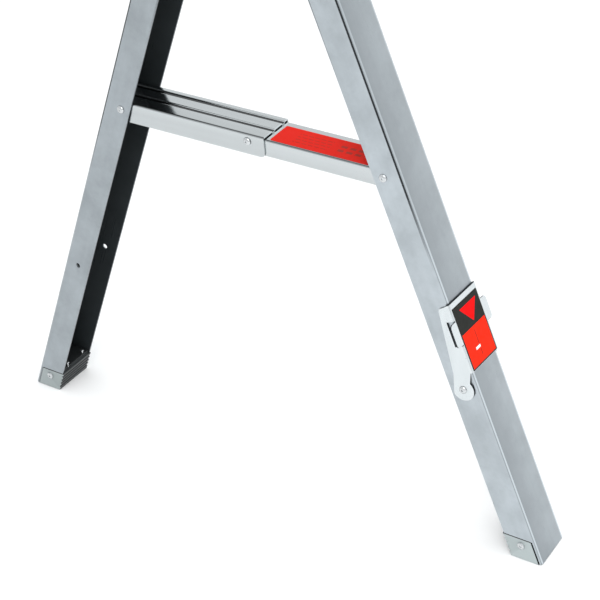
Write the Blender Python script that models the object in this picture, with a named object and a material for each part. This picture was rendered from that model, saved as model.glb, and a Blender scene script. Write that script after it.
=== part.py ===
"""Tripod step ladder with flared stiles, a fold-out side pedal and one telescoping rear leg.

Working numbers are millimetres; meshes are written in metres.  The front frame is drawn in its own
upright axes (x across, d back through the stile's depth, v up) and an empty leans it backwards.
Each stile is a U-channel: its web faces outwards and its two flanges point at the other stile.
"""
import math

import bmesh
import bpy
from mathutils import Matrix, Vector

# ---------------------------------------------------------------- driving dimensions (mm, degrees)
MM = 0.001
GAP = 0.3                      # clearance between neighbouring pieces
BASE_WIDTH = 740.0             # over the webs, on the ground
FLARE = math.radians(21.25)    # tilt of the lower stiles
LEAN = math.radians(3.0)       # tilt of the whole front frame
BEND_HEIGHT = 660.0            # where the stiles turn upright
STILE_TOP = 1622.0
WEB = 55.0                     # channel depth, front to back
FLANGE = 35.0                  # channel width, web to free edge
GAUGE = 2.0
FOLD_RADIUS = 3.0

STEP_HEIGHTS = (450.0, 750.0, 1050.0, 1350.0)
TOP_HEIGHT = 1650.0
STEP_GAUGE = 1.5
STEP_BAND = 25.0               # height of a step's front and rear band
INNER_BAND = 20.0
STEP_CORNER = 2.5
GROOVE_DEPTH = 1.2
GROOVE_WIDTH = 3.6
RIVET_DROP = 9.3               # rivet centre below the step's top
RIVET_INSET = 23.0             # rivet centre in from the web's outer face
LAP_END = 21.5                 # where the ribbed half of the lowest step ends
LAP_RIVET_IN = 22.0            # lap rivets, back from that end
LAP_LENGTH = 60.0

PEDAL_PIVOT = 229.0            # along the stile from the ground
PIVOT_INSET = 18.0             # pivot in from the web's outer face
PEDAL_GAUGE = 1.5
PEDAL_GAP = 0.5
PLATE_FOOT = 19.3              # plate's lower edge above the pivot
PLATE_TOP = 101.0
ARM_END_RADIUS = 13.5
EAR = 8.5
EAR_FROM, EAR_TO = 52.0, 82.0
PIN_RADIUS = 3.0

SHOE_PLATE = 28.2
SHOE_CORE = 33.0
SHOE_OVERHANG = 1.5
SHOE_SCREW_HEIGHT = 19.0
NOTCH_INSET = 4.0              # the flange's notch starts this far in from the web's outer face

RIVET_SHANK = 2.4
RIVET_HEAD = 4.8
RIVET_DOME = 2.2
BOLT_SHANK = 3.0

REAR_REACH = 1120.0            # rear foot's pin behind the front feet
HINGE_DEPTH = 86.0
HINGE_HEIGHT = 1576.0
LUG_GAUGE = 3.0                # sheet of the head bracket
LUG_RADIUS = 18.0
BRACKET_DROP = 10.0            # bracket's plate below the stiles' tops
CHEEK_LENGTH = 62.0
HEAD_BOLT_DROP = 40.0
HEAD_BOLT_SPREAD = 12.0        # each side of mid-depth
TOP_STEP_DEPTH, TOP_STEP_BAND = 128.0, 24.0
TOP_STEP_FRONT = -9.0
TOP_STEP_OVERHANG = 6.0
TOP_GROOVES = 5
TOP_RIVET_X, TOP_RIVET_DEPTHS = 48.0, (18.0, 92.0)
HEAD_WIDTH = 36.0
TONGUE_RADIUS = 15.0
HEEL_REACH = 15.0              # how far behind the hinge the heel meets the bracket's plate
PLUG_LENGTH = 45.0
HINGE_BOLT = 5.0
UPPER_TUBE = 19.0
LOWER_TUBE = 16.0
TUBE_WALL = 1.8
UPPER_TUBE_TOP = 50.0          # below the hinge, along the leg
UPPER_TUBE_END = 1050.0
LOWER_TUBE_TOP = 780.0
COLLAR_RADIUS = 25.0
FOOT_PIN_HEIGHT = 36.0
FOOT_LENGTH, FOOT_WIDTH, FOOT_SOLE = 90.0, 76.0, 14.0

ROUND = 12                     # sides of a small round piece
TUBE_ROUND = 28

UPPER_HALF = BASE_WIDTH / 2 - BEND_HEIGHT * math.tan(FLARE)
CHANNEL_IN = GAUGE + GAP       # inside face of a flange or web, plus clearance


# ---------------------------------------------------------------- layout of the front frame
def stile_x(v, inset=0.0):
    """Distance from the middle of the ladder to a line `inset` inside the web's outer face."""
    turn = BEND_HEIGHT - inset * (1 / math.cos(FLARE) - 1) / math.tan(FLARE)
    if v >= turn:
        return UPPER_HALF - inset
    return BASE_WIDTH / 2 - v * math.tan(FLARE) - inset / math.cos(FLARE)


def ground(d):
    """Height in the leaning frame's own axes at which depth d meets the ground."""
    return d * math.tan(LEAN)


def level(p, q, v0, d0=CHANNEL_IN):
    """Depth and height of a point p back and q up, in true level axes, from a point of the frame."""
    c, s = math.cos(LEAN), math.sin(LEAN)
    return d0 + p * c - q * s, v0 + p * s + q * c


def along_stile(s, inset):
    """Distance out and height of a point s up the flared stile and inset from its outer face."""
    x = BASE_WIDTH / 2 - s * math.sin(FLARE) - inset * math.cos(FLARE)
    return x, s * math.cos(FLARE) - inset * math.sin(FLARE)


def to_world(d, v):
    c, s = math.cos(LEAN), math.sin(LEAN)
    return v * s + d * c, v * c - d * s


HINGE_Y, HINGE_Z = to_world(HINGE_DEPTH, HINGE_HEIGHT)
LEG_ANGLE = math.atan2(REAR_REACH - HINGE_Y, HINGE_Z - FOOT_PIN_HEIGHT)
LEG_LENGTH = math.hypot(REAR_REACH - HINGE_Y, HINGE_Z - FOOT_PIN_HEIGHT)
SCREW_FRONT = -(GAP + RIVET_DOME) * math.cos(LEAN) + SHOE_SCREW_HEIGHT * math.sin(LEAN)
MIDDLE_Y = (REAR_REACH + FOOT_LENGTH / 2 + SCREW_FRONT) / 2


# ---------------------------------------------------------------- scene, materials and mesh helpers
for old in list(bpy.data.objects):
    bpy.data.objects.remove(old, do_unlink=True)


def make_material(name, colour, roughness, metallic):
    material = bpy.data.materials.new(name)
    material.use_nodes = True
    shader = material.node_tree.nodes["Principled BSDF"]
    shader.inputs["Base Color"].default_value = (*colour, 1.0)
    shader.inputs["Roughness"].default_value = roughness
    shader.inputs["Metallic"].default_value = metallic
    return material


def make_empty(name, parent=None, location=(0, 0, 0), rotation=(0, 0, 0)):
    empty = bpy.data.objects.new(name, None)
    bpy.context.scene.collection.objects.link(empty)
    empty.parent = parent
    empty.location = Vector(location) * MM
    empty.rotation_euler = rotation
    return empty


def make_object(name, bm, finish, parent, smooth=False):
    """Turn a bmesh in millimetres into a named object with its own material."""
    bmesh.ops.recalc_face_normals(bm, faces=bm.faces)
    bmesh.ops.scale(bm, vec=(MM, MM, MM), verts=bm.verts)
    mesh = bpy.data.meshes.new(name)
    bm.to_mesh(mesh)
    bm.free()
    if smooth:
        mesh.shade_smooth()
        mesh.set_sharp_from_angle(angle=math.radians(35))
    obj = bpy.data.objects.new(name, mesh)
    bpy.context.scene.collection.objects.link(obj)
    obj.parent = parent
    if finish:
        mesh.materials.append(make_material(name + "_finish", *finish))
    return obj


def loft(*rings):
    """Skin between rings of 3-D points, with a cap on the first and the last."""
    bm = bmesh.new()
    rows = [[bm.verts.new(point) for point in ring] for ring in rings]
    count = len(rows[0])
    for lower, upper in zip(rows, rows[1:]):
        for i in range(count):
            j = (i + 1) % count
            bm.faces.new((lower[i], lower[j], upper[j], upper[i]))
    bm.faces.new(rows[0][::-1])
    bm.faces.new(rows[-1])
    return bm


def bar_x(outline, low, high):
    """A straight bar along x with an outline of (d, v) points."""
    return loft([(low, d, v) for d, v in outline], [(high, d, v) for d, v in outline])


def box(low, high):
    (x0, y0, z0), (x1, y1, z1) = low, high
    base = [(x0, y0), (x1, y0), (x1, y1), (x0, y1)]
    return loft([(x, y, z0) for x, y in base], [(x, y, z1) for x, y in base])


def turned(profile, sides=ROUND, ring=False):
    """Spin (radius, height) points about z.  A ring's profile closes on itself."""
    bm = bmesh.new()
    turns = [2 * math.pi * (i + 0.5) / sides for i in range(sides)]
    rows = []
    for radius, height in profile:
        if radius == 0:
            rows.append([bm.verts.new((0, 0, height))] * sides)
        else:
            rows.append([bm.verts.new((radius * math.cos(a), radius * math.sin(a), height)) for a in turns])
    pairs = list(zip(rows, rows[1:]))
    if ring:
        pairs.append((rows[-1], rows[0]))
    for lower, upper in pairs:
        for i in range(sides):
            j = (i + 1) % sides
            corners = dict.fromkeys((lower[i], lower[j], upper[j], upper[i]))
            bm.faces.new(tuple(corners))
    return bm


def arc(centre, radius, start, end, steps):
    """Points of an arc, angles in degrees."""
    for i in range(steps + 1):
        a = math.radians(start + (end - start) * i / steps)
        yield centre[0] + radius * math.cos(a), centre[1] + radius * math.sin(a)


def place(bm, location, axis=(0, 0, 1)):
    """Turn a bmesh's z axis to `axis` and move it to `location`."""
    turn = Vector((0, 0, 1)).rotation_difference(Vector(axis)).to_matrix().to_4x4()
    bmesh.ops.transform(bm, matrix=Matrix.Translation(location) @ turn, verts=bm.verts)
    return bm


def merge(shapes):
    """Several closed shapes in one bmesh."""
    merged = shapes[0]
    for bm in shapes[1:]:
        copied = bpy.data.meshes.new("merged")
        bm.to_mesh(copied)
        bm.free()
        merged.from_mesh(copied)
        bpy.data.meshes.remove(copied)
    return merged


def combine(obj, operation, shapes):
    """Join shapes to an object, or cut them out of it."""
    tool = make_object(f"{obj.name}_{operation.lower()}", merge(shapes), None, obj.parent)
    tool.hide_render = True
    tool.display_type = "WIRE"
    cut = obj.modifiers.new(tool.name, "BOOLEAN")
    cut.operation = operation
    cut.solver = "EXACT"
    cut.use_self = operation == "UNION"
    cut.object = tool
    return obj


def rod(location, axis, radius, low, high, sides=ROUND):
    """A plain cylinder from low to high along `axis`, used for holes."""
    return place(turned([(0, low), (radius, low), (radius, high), (0, high)], sides), location, axis)


def rivet_shape(grip, shank=RIVET_SHANK, head=RIVET_HEAD, dome=RIVET_DOME, tail=1.2):
    """A domed rivet standing on z = 0, its shank reaching down through `grip`."""
    profile = [(0, dome)]
    profile += [(head * math.sin(a), dome * math.cos(a)) for a in (math.radians(32), math.radians(62))]
    profile += [(head, 0), (shank, 0), (shank, -grip)]
    profile += [(head * 0.78, -grip), (head * 0.7, -grip - tail), (0, -grip - tail)]
    return turned(profile)


# ---------------------------------------------------------------- finishes
FRAME_METAL = ((0.62, 0.64, 0.66), 0.32, 1.0)
STEP_METAL = ((0.66, 0.67, 0.68), 0.22, 1.0)
RIVET_METAL = ((0.70, 0.71, 0.72), 0.28, 1.0)
TUBE_METAL = ((0.60, 0.62, 0.64), 0.30, 1.0)
SHOE_GREY = ((0.42, 0.46, 0.46), 0.55, 0.0)
RUBBER = ((0.03, 0.03, 0.03), 0.85, 0.0)
COLLAR_BLACK = ((0.05, 0.05, 0.055), 0.5, 0.0)
LABEL_RED = ((0.75, 0.07, 0.03), 0.45, 0.0)

ladder = make_empty("ladder_origin", location=(0, -MIDDLE_Y, 0))
front = make_empty("front_frame_axes", ladder, rotation=(-LEAN, 0, 0))


# ---------------------------------------------------------------- stiles
def channel_outline():
    """Outline of the U-channel as (inset from the web's outer face, depth) points."""
    r, g = FOLD_RADIUS, GAUGE
    points = [(FLANGE, 0)]
    points += list(arc((r, r), r, 270, 180, 3))
    points += list(arc((r, WEB - r), r, 180, 90, 3))
    points += [(FLANGE, WEB), (FLANGE, WEB - g)]
    points += list(arc((r, WEB - r), r - g, 90, 180, 2))
    points += list(arc((r, r), r - g, 180, 270, 2))
    points += [(FLANGE, g)]
    return points


def step_rivet_inset(height):
    """Inset of a step's rivets along x, measured where the rivet sits."""
    return RIVET_INSET if height < BEND_HEIGHT else FLANGE / 2


def step_rivet_spot(height):
    """Distance out and height of a step's rivets in the front frame."""
    v = height - RIVET_DROP
    return stile_x(v, step_rivet_inset(height)), v


def make_stile(side, name):
    bottom, bend, top = [], [], []
    for inset, d in channel_outline():
        low = ground(d) + 1.0
        turn = BEND_HEIGHT - inset * (1 / math.cos(FLARE) - 1) / math.tan(FLARE)
        bottom.append((side * stile_x(low, inset), d, low))
        bend.append((side * stile_x(turn, inset), d, turn))
        top.append((side * stile_x(STILE_TOP, inset), d, STILE_TOP + ground(d)))
    stile = make_object(name, loft(bottom, bend, top), FRAME_METAL, front, smooth=True)

    through = []
    for height in STEP_HEIGHTS:
        x, v = step_rivet_spot(height)
        through.append(rod((side * x, 0, v), (0, 1, 0), RIVET_SHANK + GAP, -5, WEB + 5))
    x, v = along_stile(PEDAL_PIVOT, PIVOT_INSET)
    through.append(rod((side * x, 0, v), (0, 1, 0), PIN_RADIUS + GAP, -5, WEB + 5))
    for d, v in head_bolt_spots():
        through.append(rod((side * UPPER_HALF, d, v), (1, 0, 0), BOLT_SHANK + GAP, -8, 8))
    # The flanges stop above the shoe's front and rear plates; the web runs on to the ground.
    notch = [(NOTCH_INSET, -20), (FLANGE + 12, -20), (FLANGE + 12, SHOE_PLATE + GAP)]
    notch.append((NOTCH_INSET, SHOE_PLATE + GAP))
    for faces in ((-3, GAUGE + 1.0), (WEB - GAUGE - 1.0, WEB + 3)):
        rings = []
        for d in faces:
            rings.append([(side * stile_x(v + ground(d), inset), d, v + ground(d)) for inset, v in notch])
        through.append(loft(*rings))
    return combine(stile, "DIFFERENCE", through)


# ---------------------------------------------------------------- steps
def tread_outline(depth, band, grooved):
    """Closed outline of an inverted channel, (p back, q up) from its front top corner."""
    r, g = STEP_CORNER, STEP_GAUGE
    top = []
    if grooved:
        slope, half = GROOVE_DEPTH, GROOVE_WIDTH / 2
        for centre in (depth * 0.40, depth * 0.80):
            top += [(centre - half - slope, 0), (centre - half, -GROOVE_DEPTH)]
            top += [(centre + half, -GROOVE_DEPTH), (centre + half + slope, 0)]
    outer = [(0, -band)] + list(arc((r, -r), r, 180, 90, 3)) + top
    outer += list(arc((depth - r, -r), r, 90, 0, 3)) + [(depth, -band)]
    inner = [(depth - g, -band)] + list(arc((depth - r, -r), r - g, 0, 90, 2))
    inner += [(p, q - g) for p, q in reversed(top)]
    inner += list(arc((r, -r), r - g, 90, 180, 2)) + [(g, -band)]
    return outer + inner


def step_depth():
    """Depth that leaves the level step clear of the leaning flanges, front and rear."""
    return (WEB - 2 * CHANNEL_IN - STEP_BAND * math.sin(LEAN)) / math.cos(LEAN)


def rivet_holes(spots, low, high):
    return [rod((x, 0, v), (0, 1, 0), RIVET_SHANK + GAP, low, high) for x, v in spots]


def make_full_step(number, height):
    outline = [level(p, q, height) for p, q in tread_outline(step_depth(), STEP_BAND, True)]
    ends = [[(side * stile_x(v, CHANNEL_IN), d, v) for d, v in outline] for side in (-1, 1)]
    step = make_object(f"step_{number}", loft(*ends), STEP_METAL, front, smooth=True)
    x, v = step_rivet_spot(height)
    return combine(step, "DIFFERENCE", rivet_holes([(-x, v), (x, v)], -5, WEB + 5))


def lap_rivet_spot():
    return LAP_END - LAP_RIVET_IN, STEP_HEIGHTS[0] - RIVET_DROP


INNER_DROP = GROOVE_DEPTH + STEP_GAUGE + GAP          # inner half's top below the ribbed half's top
INNER_SETBACK = STEP_GAUGE + GAP                      # inner half's front behind the ribbed half's front


def make_lowest_step():
    """The lowest step: a ribbed half that laps over a plain half."""
    height = STEP_HEIGHTS[0]
    x, v = step_rivet_spot(height)
    outline = [level(p, q, height) for p, q in tread_outline(step_depth(), STEP_BAND, True)]
    left = [(-stile_x(v_, CHANNEL_IN), d, v_) for d, v_ in outline]
    right = [(LAP_END, d, v_) for d, v_ in outline]
    outer = make_object("lowest_step_ribbed_half", loft(left, right), STEP_METAL, front, smooth=True)
    # Round the lower corner of both bands where the ribbed half ends.
    radius = 5.0
    low = height - STEP_BAND
    corner = [(LAP_END + 2, low - 4), (LAP_END + 2, low + radius), (LAP_END, low + radius)]
    corner += list(arc((LAP_END - radius, low + radius), radius, 0, -90, 4))[1:]
    corner += [(LAP_END - radius, low - 4)]
    cutter = loft([(cx, -6, cv) for cx, cv in corner], [(cx, WEB + 6, cv + 3) for cx, cv in corner])
    combine(outer, "DIFFERENCE", [cutter] + rivet_holes([(-x, v), lap_rivet_spot()], -5, WEB + 5))

    depth = step_depth() - 2 * INNER_SETBACK
    plain = tread_outline(depth, INNER_BAND, False)
    outline = [level(p + INNER_SETBACK, q - INNER_DROP, height) for p, q in plain]
    left = [(LAP_END - LAP_LENGTH, d, v_) for d, v_ in outline]
    right = [(stile_x(v_, CHANNEL_IN), d, v_) for d, v_ in outline]
    inner = make_object("lowest_step_plain_half", loft(left, right), STEP_METAL, front, smooth=True)
    combine(inner, "DIFFERENCE", rivet_holes([(x, v), lap_rivet_spot()], -5, WEB + 5))


def band_depth(front_side, v, height, setback=0.0):
    """Depth of a step band's inner face at height v, for the rivet's grip."""
    drop = height - v
    if front_side:
        return level(STEP_GAUGE + setback, -drop, height)[0]
    return level(step_depth() - STEP_GAUGE - setback, -drop, height)[0]


def make_step_rivets():
    """Rivets through the flanges into every step, and two where the lowest step's halves lap."""
    for number, height in enumerate(STEP_HEIGHTS, start=1):
        x, v = step_rivet_spot(height)
        for side, side_name in ((-1, "left"), (1, "right")):
            setback = INNER_SETBACK if number == 1 and side == 1 else 0.0
            for front_side, end_name in ((True, "front"), (False, "rear")):
                face = -GAP if front_side else WEB + GAP
                grip = abs(band_depth(front_side, v, height, setback) - face) + GAP
                axis = (0, -1, 0) if front_side else (0, 1, 0)
                shape = place(rivet_shape(grip), (side * x, face, v), axis)
                make_object(f"step_{number}_rivet_{side_name}_{end_name}", shape, RIVET_METAL, front, True)
    x, v = lap_rivet_spot()
    height = STEP_HEIGHTS[0]
    for front_side, end_name in ((True, "front"), (False, "rear")):
        outward = -1 if front_side else 1
        outer_face = band_depth(front_side, v, height) + outward * (STEP_GAUGE + GAP + 0.3)
        grip = abs(band_depth(front_side, v, height, INNER_SETBACK) - outer_face) + GAP
        shape = place(rivet_shape(grip), (x, outer_face, v), (0, outward, 0))
        make_object(f"lap_rivet_{end_name}", shape, RIVET_METAL, front, True)


# ---------------------------------------------------------------- shoes
def make_shoe(side, name):
    """A moulded block in the channel's end, with plates that fill the notches in the flanges."""
    def ring(outline, height):
        return [(side * stile_x(height + ground(d), inset), d, height + ground(d)) for inset, d in outline]

    inner = FLANGE + SHOE_OVERHANG
    rib_in = inner - 1.3

    def outline(edge):
        near, far = CHANNEL_IN, WEB - CHANNEL_IN
        plate = NOTCH_INSET + GAP
        return [(plate, 0), (edge, 0), (edge, WEB), (plate, WEB), (plate, far), (near, far), (near, near),
                (plate, near)]

    rings = [ring(outline(inner), 0.0)]
    for base in (5.0, 10.5, 16.0, 21.5):
        for height, edge in ((base, inner), (base + 0.8, rib_in), (base + 2.4, rib_in), (base + 3.2, inner)):
            rings.append(ring(outline(edge), height))
    rings.append(ring(outline(inner), SHOE_PLATE))
    shoe = make_object(name, loft(*rings), SHOE_GREY, front, smooth=True)
    near, far = CHANNEL_IN, WEB - CHANNEL_IN
    core_out = FLANGE - 2
    core = [(near + 0.5, near + 0.5), (core_out, near + 0.5), (core_out, far - 0.5), (near + 0.5, far - 0.5)]
    combine(shoe, "UNION", [loft(ring(core, SHOE_PLATE - 6), ring(core, SHOE_CORE))])
    x = side * stile_x(SHOE_SCREW_HEIGHT, PIVOT_INSET)
    hole = rod((x, 0, SHOE_SCREW_HEIGHT), (0, 1, 0), 2.0 + GAP, -3, 15)
    combine(shoe, "DIFFERENCE", [hole])

    shank = [(0, -14), (2.0, -14), (2.0, 0), (4.6, 0), (4.3, 1.2), (2.6, RIVET_DOME), (0, RIVET_DOME)]
    screw = place(turned(shank), (x, -GAP, SHOE_SCREW_HEIGHT), (0, -1, 0))
    make_object(name + "_screw", screw, RIVET_METAL, front, True)


# ---------------------------------------------------------------- side pedal
def pedal_arm_outline():
    """Side view of an arm, (out, up) from the pivot: a round end, then a strip along the fold."""
    fold = PIVOT_INSET + PEDAL_GAP + PEDAL_GAUGE
    points = [(fold, PLATE_TOP), (fold, PLATE_FOOT)]
    points += list(arc((0, 0), ARM_END_RADIUS, 30, -165, 10))
    points += [(-5.0, 20.0), (5.2, PLATE_TOP - 5.0), (7.0, PLATE_TOP - 2.5)]
    return points


def pedal_plate_outline():
    """The plate with its two finger ears, (across, up) from the pivot at mid-depth."""
    half = WEB / 2 + PEDAL_GAP + PEDAL_GAUGE
    tip, r = half + EAR, 4.5
    right = [(half, PLATE_FOOT), (half, EAR_FROM)]
    right += list(arc((tip - r, EAR_FROM + r), r, -90, 0, 3))
    right += list(arc((tip - r, EAR_TO - r), r, 0, 90, 3))
    right += [(half, EAR_TO), (half, PLATE_TOP)]
    return right + [(-y, z) for y, z in reversed(right)]


def make_pedal():
    x, v = along_stile(PEDAL_PIVOT, PIVOT_INSET)
    axes = make_empty("pedal_axes", front, (x, WEB / 2, v), (0, -FLARE, 0))
    inner = PIVOT_INSET + PEDAL_GAP
    outer = inner + PEDAL_GAUGE
    plate = pedal_plate_outline()
    body = loft([(inner, y, z) for y, z in plate], [(outer, y, z) for y, z in plate])
    pedal = make_object("pedal", body, STEP_METAL, axes, smooth=True)
    reach = WEB / 2 + PEDAL_GAP
    arms, cuts = [], []
    for low, high in ((-reach - PEDAL_GAUGE, -reach), (reach, reach + PEDAL_GAUGE)):
        arms.append(loft([(px, low, pz) for px, pz in pedal_arm_outline()],
                         [(px, high, pz) for px, pz in pedal_arm_outline()]))
        # The ear was bent out of the arm, which leaves a slot beside the fold.
        cuts.append(box((inner - EAR, low - 2, EAR_FROM), (inner, high + 2, EAR_TO)))
    combine(pedal, "UNION", arms)
    cuts.append(rod((0, 0, 0), (0, 1, 0), PIN_RADIUS + GAP, -WEB, WEB, 16))
    combine(pedal, "DIFFERENCE", cuts)

    label_half, label_low, label_high = 26.0, PLATE_FOOT + 1.7, PLATE_TOP - 7.0
    label = box((outer + GAP, -label_half, label_low), (outer + GAP + 0.3, label_half, label_high))
    make_object("pedal_label", label, LABEL_RED, axes)

    head = WEB / 2 + PEDAL_GAP + PEDAL_GAUGE + GAP
    dome = [(4.2, 0.9), (2.6, 2.0), (0, 2.2)]
    profile = [(0, -head - 2.2), (2.6, -head - 2.0), (4.2, -head - 0.9), (4.6, -head), (PIN_RADIUS, -head)]
    profile += [(PIN_RADIUS, head), (4.6, head)] + [(r, head + h) for r, h in dome]
    make_object("pedal_pin", place(turned(profile, 16), (x, WEB / 2, v), (0, 1, 0)), RIVET_METAL, front, True)


def make_step_label():
    """A printed label on the plain half of the lowest step."""
    top = -INNER_DROP + GAP
    outline = [(2.4 + INNER_SETBACK, top), (36.5, top), (36.5, top + 0.3), (2.4 + INNER_SETBACK, top + 0.3)]
    placed = [level(p, q, STEP_HEIGHTS[0]) for p, q in outline]
    make_object("step_label", bar_x(placed, LAP_END + 5.5, LAP_END + 130.5), LABEL_RED, front)


# ---------------------------------------------------------------- head: bracket and top step
BRACKET_TOP = STILE_TOP - BRACKET_DROP


def head_bolt_spots():
    return [(WEB / 2 + side * HEAD_BOLT_SPREAD, STILE_TOP - HEAD_BOLT_DROP) for side in (-1, 1)]


def mirrored_bars(outline, low, high):
    """The same bar along x on the left and on the right, from low to high out from the middle."""
    return [bar_x(outline, *sorted((side * low, side * high))) for side in (-1, 1)]


def lug_outline():
    """Side view of a hinge lug, (d, v): an upright plate with a round end about the hinge."""
    top = BRACKET_TOP - 2
    points = [(HINGE_DEPTH - LUG_RADIUS, top), (HINGE_DEPTH - LUG_RADIUS, HINGE_HEIGHT)]
    points += list(arc((HINGE_DEPTH, HINGE_HEIGHT), LUG_RADIUS, 180, 360, 8))[1:]
    return points + [(HINGE_DEPTH + LUG_RADIUS, top)]


def make_head():
    """The bracket that ties the stiles together and carries the rear leg's hinge."""
    inside = UPPER_HALF - CHANNEL_IN
    top, under = BRACKET_TOP, BRACKET_TOP - LUG_GAUGE
    near, far = CHANNEL_IN + 1, WEB - CHANNEL_IN - 1
    plate = box((-inside, near, under), (inside, far, top))
    bracket = make_object("head_bracket", plate, FRAME_METAL, front)
    cheek = [(near, top - CHEEK_LENGTH), (far, top - CHEEK_LENGTH), (far, top), (near, top)]
    lug = HEAD_WIDTH / 2 + GAP
    parts = [box((-60, far - 5, under), (60, HINGE_DEPTH + 22, top))]
    parts += mirrored_bars(cheek, inside - LUG_GAUGE, inside)
    parts += mirrored_bars(lug_outline(), lug, lug + LUG_GAUGE)
    combine(bracket, "UNION", parts)
    holes = [rod((0, HINGE_DEPTH, HINGE_HEIGHT), (1, 0, 0), HINGE_BOLT + GAP, -60, 60)]
    for d, v in head_bolt_spots():
        holes.append(rod((0, d, v), (1, 0, 0), BOLT_SHANK + GAP, -150, 150))
    for x, d in top_rivet_spots():
        holes.append(rod((x, d, top), (0, 0, 1), RIVET_SHANK + GAP, -10, 10))
    combine(bracket, "DIFFERENCE", holes)

    for side, side_name in ((-1, "left"), (1, "right")):
        for (d, v), end_name in zip(head_bolt_spots(), ("front", "rear")):
            grip = GAP + GAUGE + GAP + LUG_GAUGE + GAP
            hexagon = [(0, 4.5), (4.8, 4.5), (5.6, 3.9), (5.6, 0), (BOLT_SHANK, 0), (BOLT_SHANK, -grip)]
            hexagon += [(5.2, -grip), (5.2, -grip - 4), (0, -grip - 4)]
            bolt = place(turned(hexagon, 6), (side * (UPPER_HALF + GAP), d, v), (side, 0, 0))
            make_object(f"head_bolt_{side_name}_{end_name}", bolt, RIVET_METAL, front)


def top_rivet_spots():
    return [(x, d) for x in (-TOP_RIVET_X, TOP_RIVET_X) for d in TOP_RIVET_DEPTHS]


def tray_height(d):
    """Height of the top step's level face at depth d, in the leaning frame's axes."""
    return TOP_HEIGHT + (d - TOP_STEP_FRONT) * math.tan(LEAN)


def make_top_step():
    """The small platform: a pressed tray with ribs, standing on the bracket."""
    depth, band = TOP_STEP_DEPTH, TOP_STEP_BAND
    half = UPPER_HALF + TOP_STEP_OVERHANG
    r, g = STEP_CORNER, STEP_GAUGE
    top = []
    slope, groove = GROOVE_DEPTH, 3.0
    for number in range(TOP_GROOVES):
        centre = depth * (number + 1) / (TOP_GROOVES + 1)
        top += [(centre - groove - slope, 0), (centre - groove, -GROOVE_DEPTH)]
        top += [(centre + groove, -GROOVE_DEPTH), (centre + groove + slope, 0)]
    outer = [(0, -band)] + list(arc((r, -r), r, 180, 90, 3)) + top
    outer += list(arc((depth - r, -r), r, 90, 0, 3)) + [(depth, -band)]
    inner = [(depth - g, -band)] + list(arc((depth - r, -r), r - g, 0, 90, 2))
    inner += [(p, q - g) for p, q in reversed(top)]
    inner += list(arc((r, -r), r - g, 90, 180, 2)) + [(g, -band)]
    outline = [level(p, q, TOP_HEIGHT, TOP_STEP_FRONT) for p, q in outer + inner]
    tray = make_object("top_step", bar_x(outline, -half, half), STEP_METAL, front, smooth=True)
    # Four short spacers under the tray, where the rivets pass, reach down to the bracket.
    posts, holes = [], []
    for x, d in top_rivet_spots():
        ceiling = tray_height(d) - GROOVE_DEPTH - 0.6
        posts.append(rod((x, d, 0), (0, 0, 1), 6.0, BRACKET_TOP + GAP, ceiling))
        holes.append(rod((x, d, 0), (0, 0, 1), RIVET_SHANK + GAP, BRACKET_TOP - 20, ceiling + 10))
    combine(tray, "UNION", posts)
    combine(tray, "DIFFERENCE", holes)
    for number, (x, d) in enumerate(top_rivet_spots(), start=1):
        seat = tray_height(d) + 0.6
        grip = seat - (BRACKET_TOP - LUG_GAUGE - GAP)
        make_object(f"top_rivet_{number}", place(rivet_shape(grip), (x, d, seat)), RIVET_METAL, front, True)


# ---------------------------------------------------------------- rear leg
def make_hinge_bolt():
    reach = HEAD_WIDTH / 2 + GAP + LUG_GAUGE + GAP
    head = [(0, reach + 6), (8.0, reach + 6), (9.0, reach + 5), (9.0, reach), (HINGE_BOLT, reach)]
    bolt = head + [(HINGE_BOLT, -reach - 12), (0, -reach - 12)]
    spot = (0, HINGE_DEPTH, HINGE_HEIGHT)
    make_object("leg_hinge_bolt", place(turned(bolt, 12), spot, (1, 0, 0)), RIVET_METAL, front)
    nut = [(9.0, -reach), (9.0, -reach - 8), (HINGE_BOLT + GAP, -reach - 8), (HINGE_BOLT + GAP, -reach)]
    nut_shape = place(turned(nut, 12, ring=True), spot, (1, 0, 0))
    make_object("leg_hinge_nut", nut_shape, RIVET_METAL, front)


def tube(outer, wall, top, end):
    inner = outer - wall
    return turned([(outer, -end), (outer, -top), (inner, -top), (inner, -end)], TUBE_ROUND, ring=True)


def tongue_outline():
    """Side view of the leg's head, (back, up) in the leg's own axes.

    Its round front clears the bracket's plate as the leg folds.  Its heel stands behind the hinge
    and meets the plate when the leg is fully open, which stops it there.
    """
    turn = LEG_ANGLE + LEAN
    c, s = math.cos(turn), math.sin(turn)
    rise = BRACKET_TOP - LUG_GAUGE - GAP - HINGE_HEIGHT
    heel = [(HEEL_REACH * c + rise * s, rise * c - HEEL_REACH * s), (rise * s, rise * c)]
    r = TONGUE_RADIUS
    front = list(arc((0, 0), r, 100, 180, 5))
    return [(r, 0)] + heel + front + [(-r, -UPPER_TUBE_TOP), (r, -UPPER_TUBE_TOP)]


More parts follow.
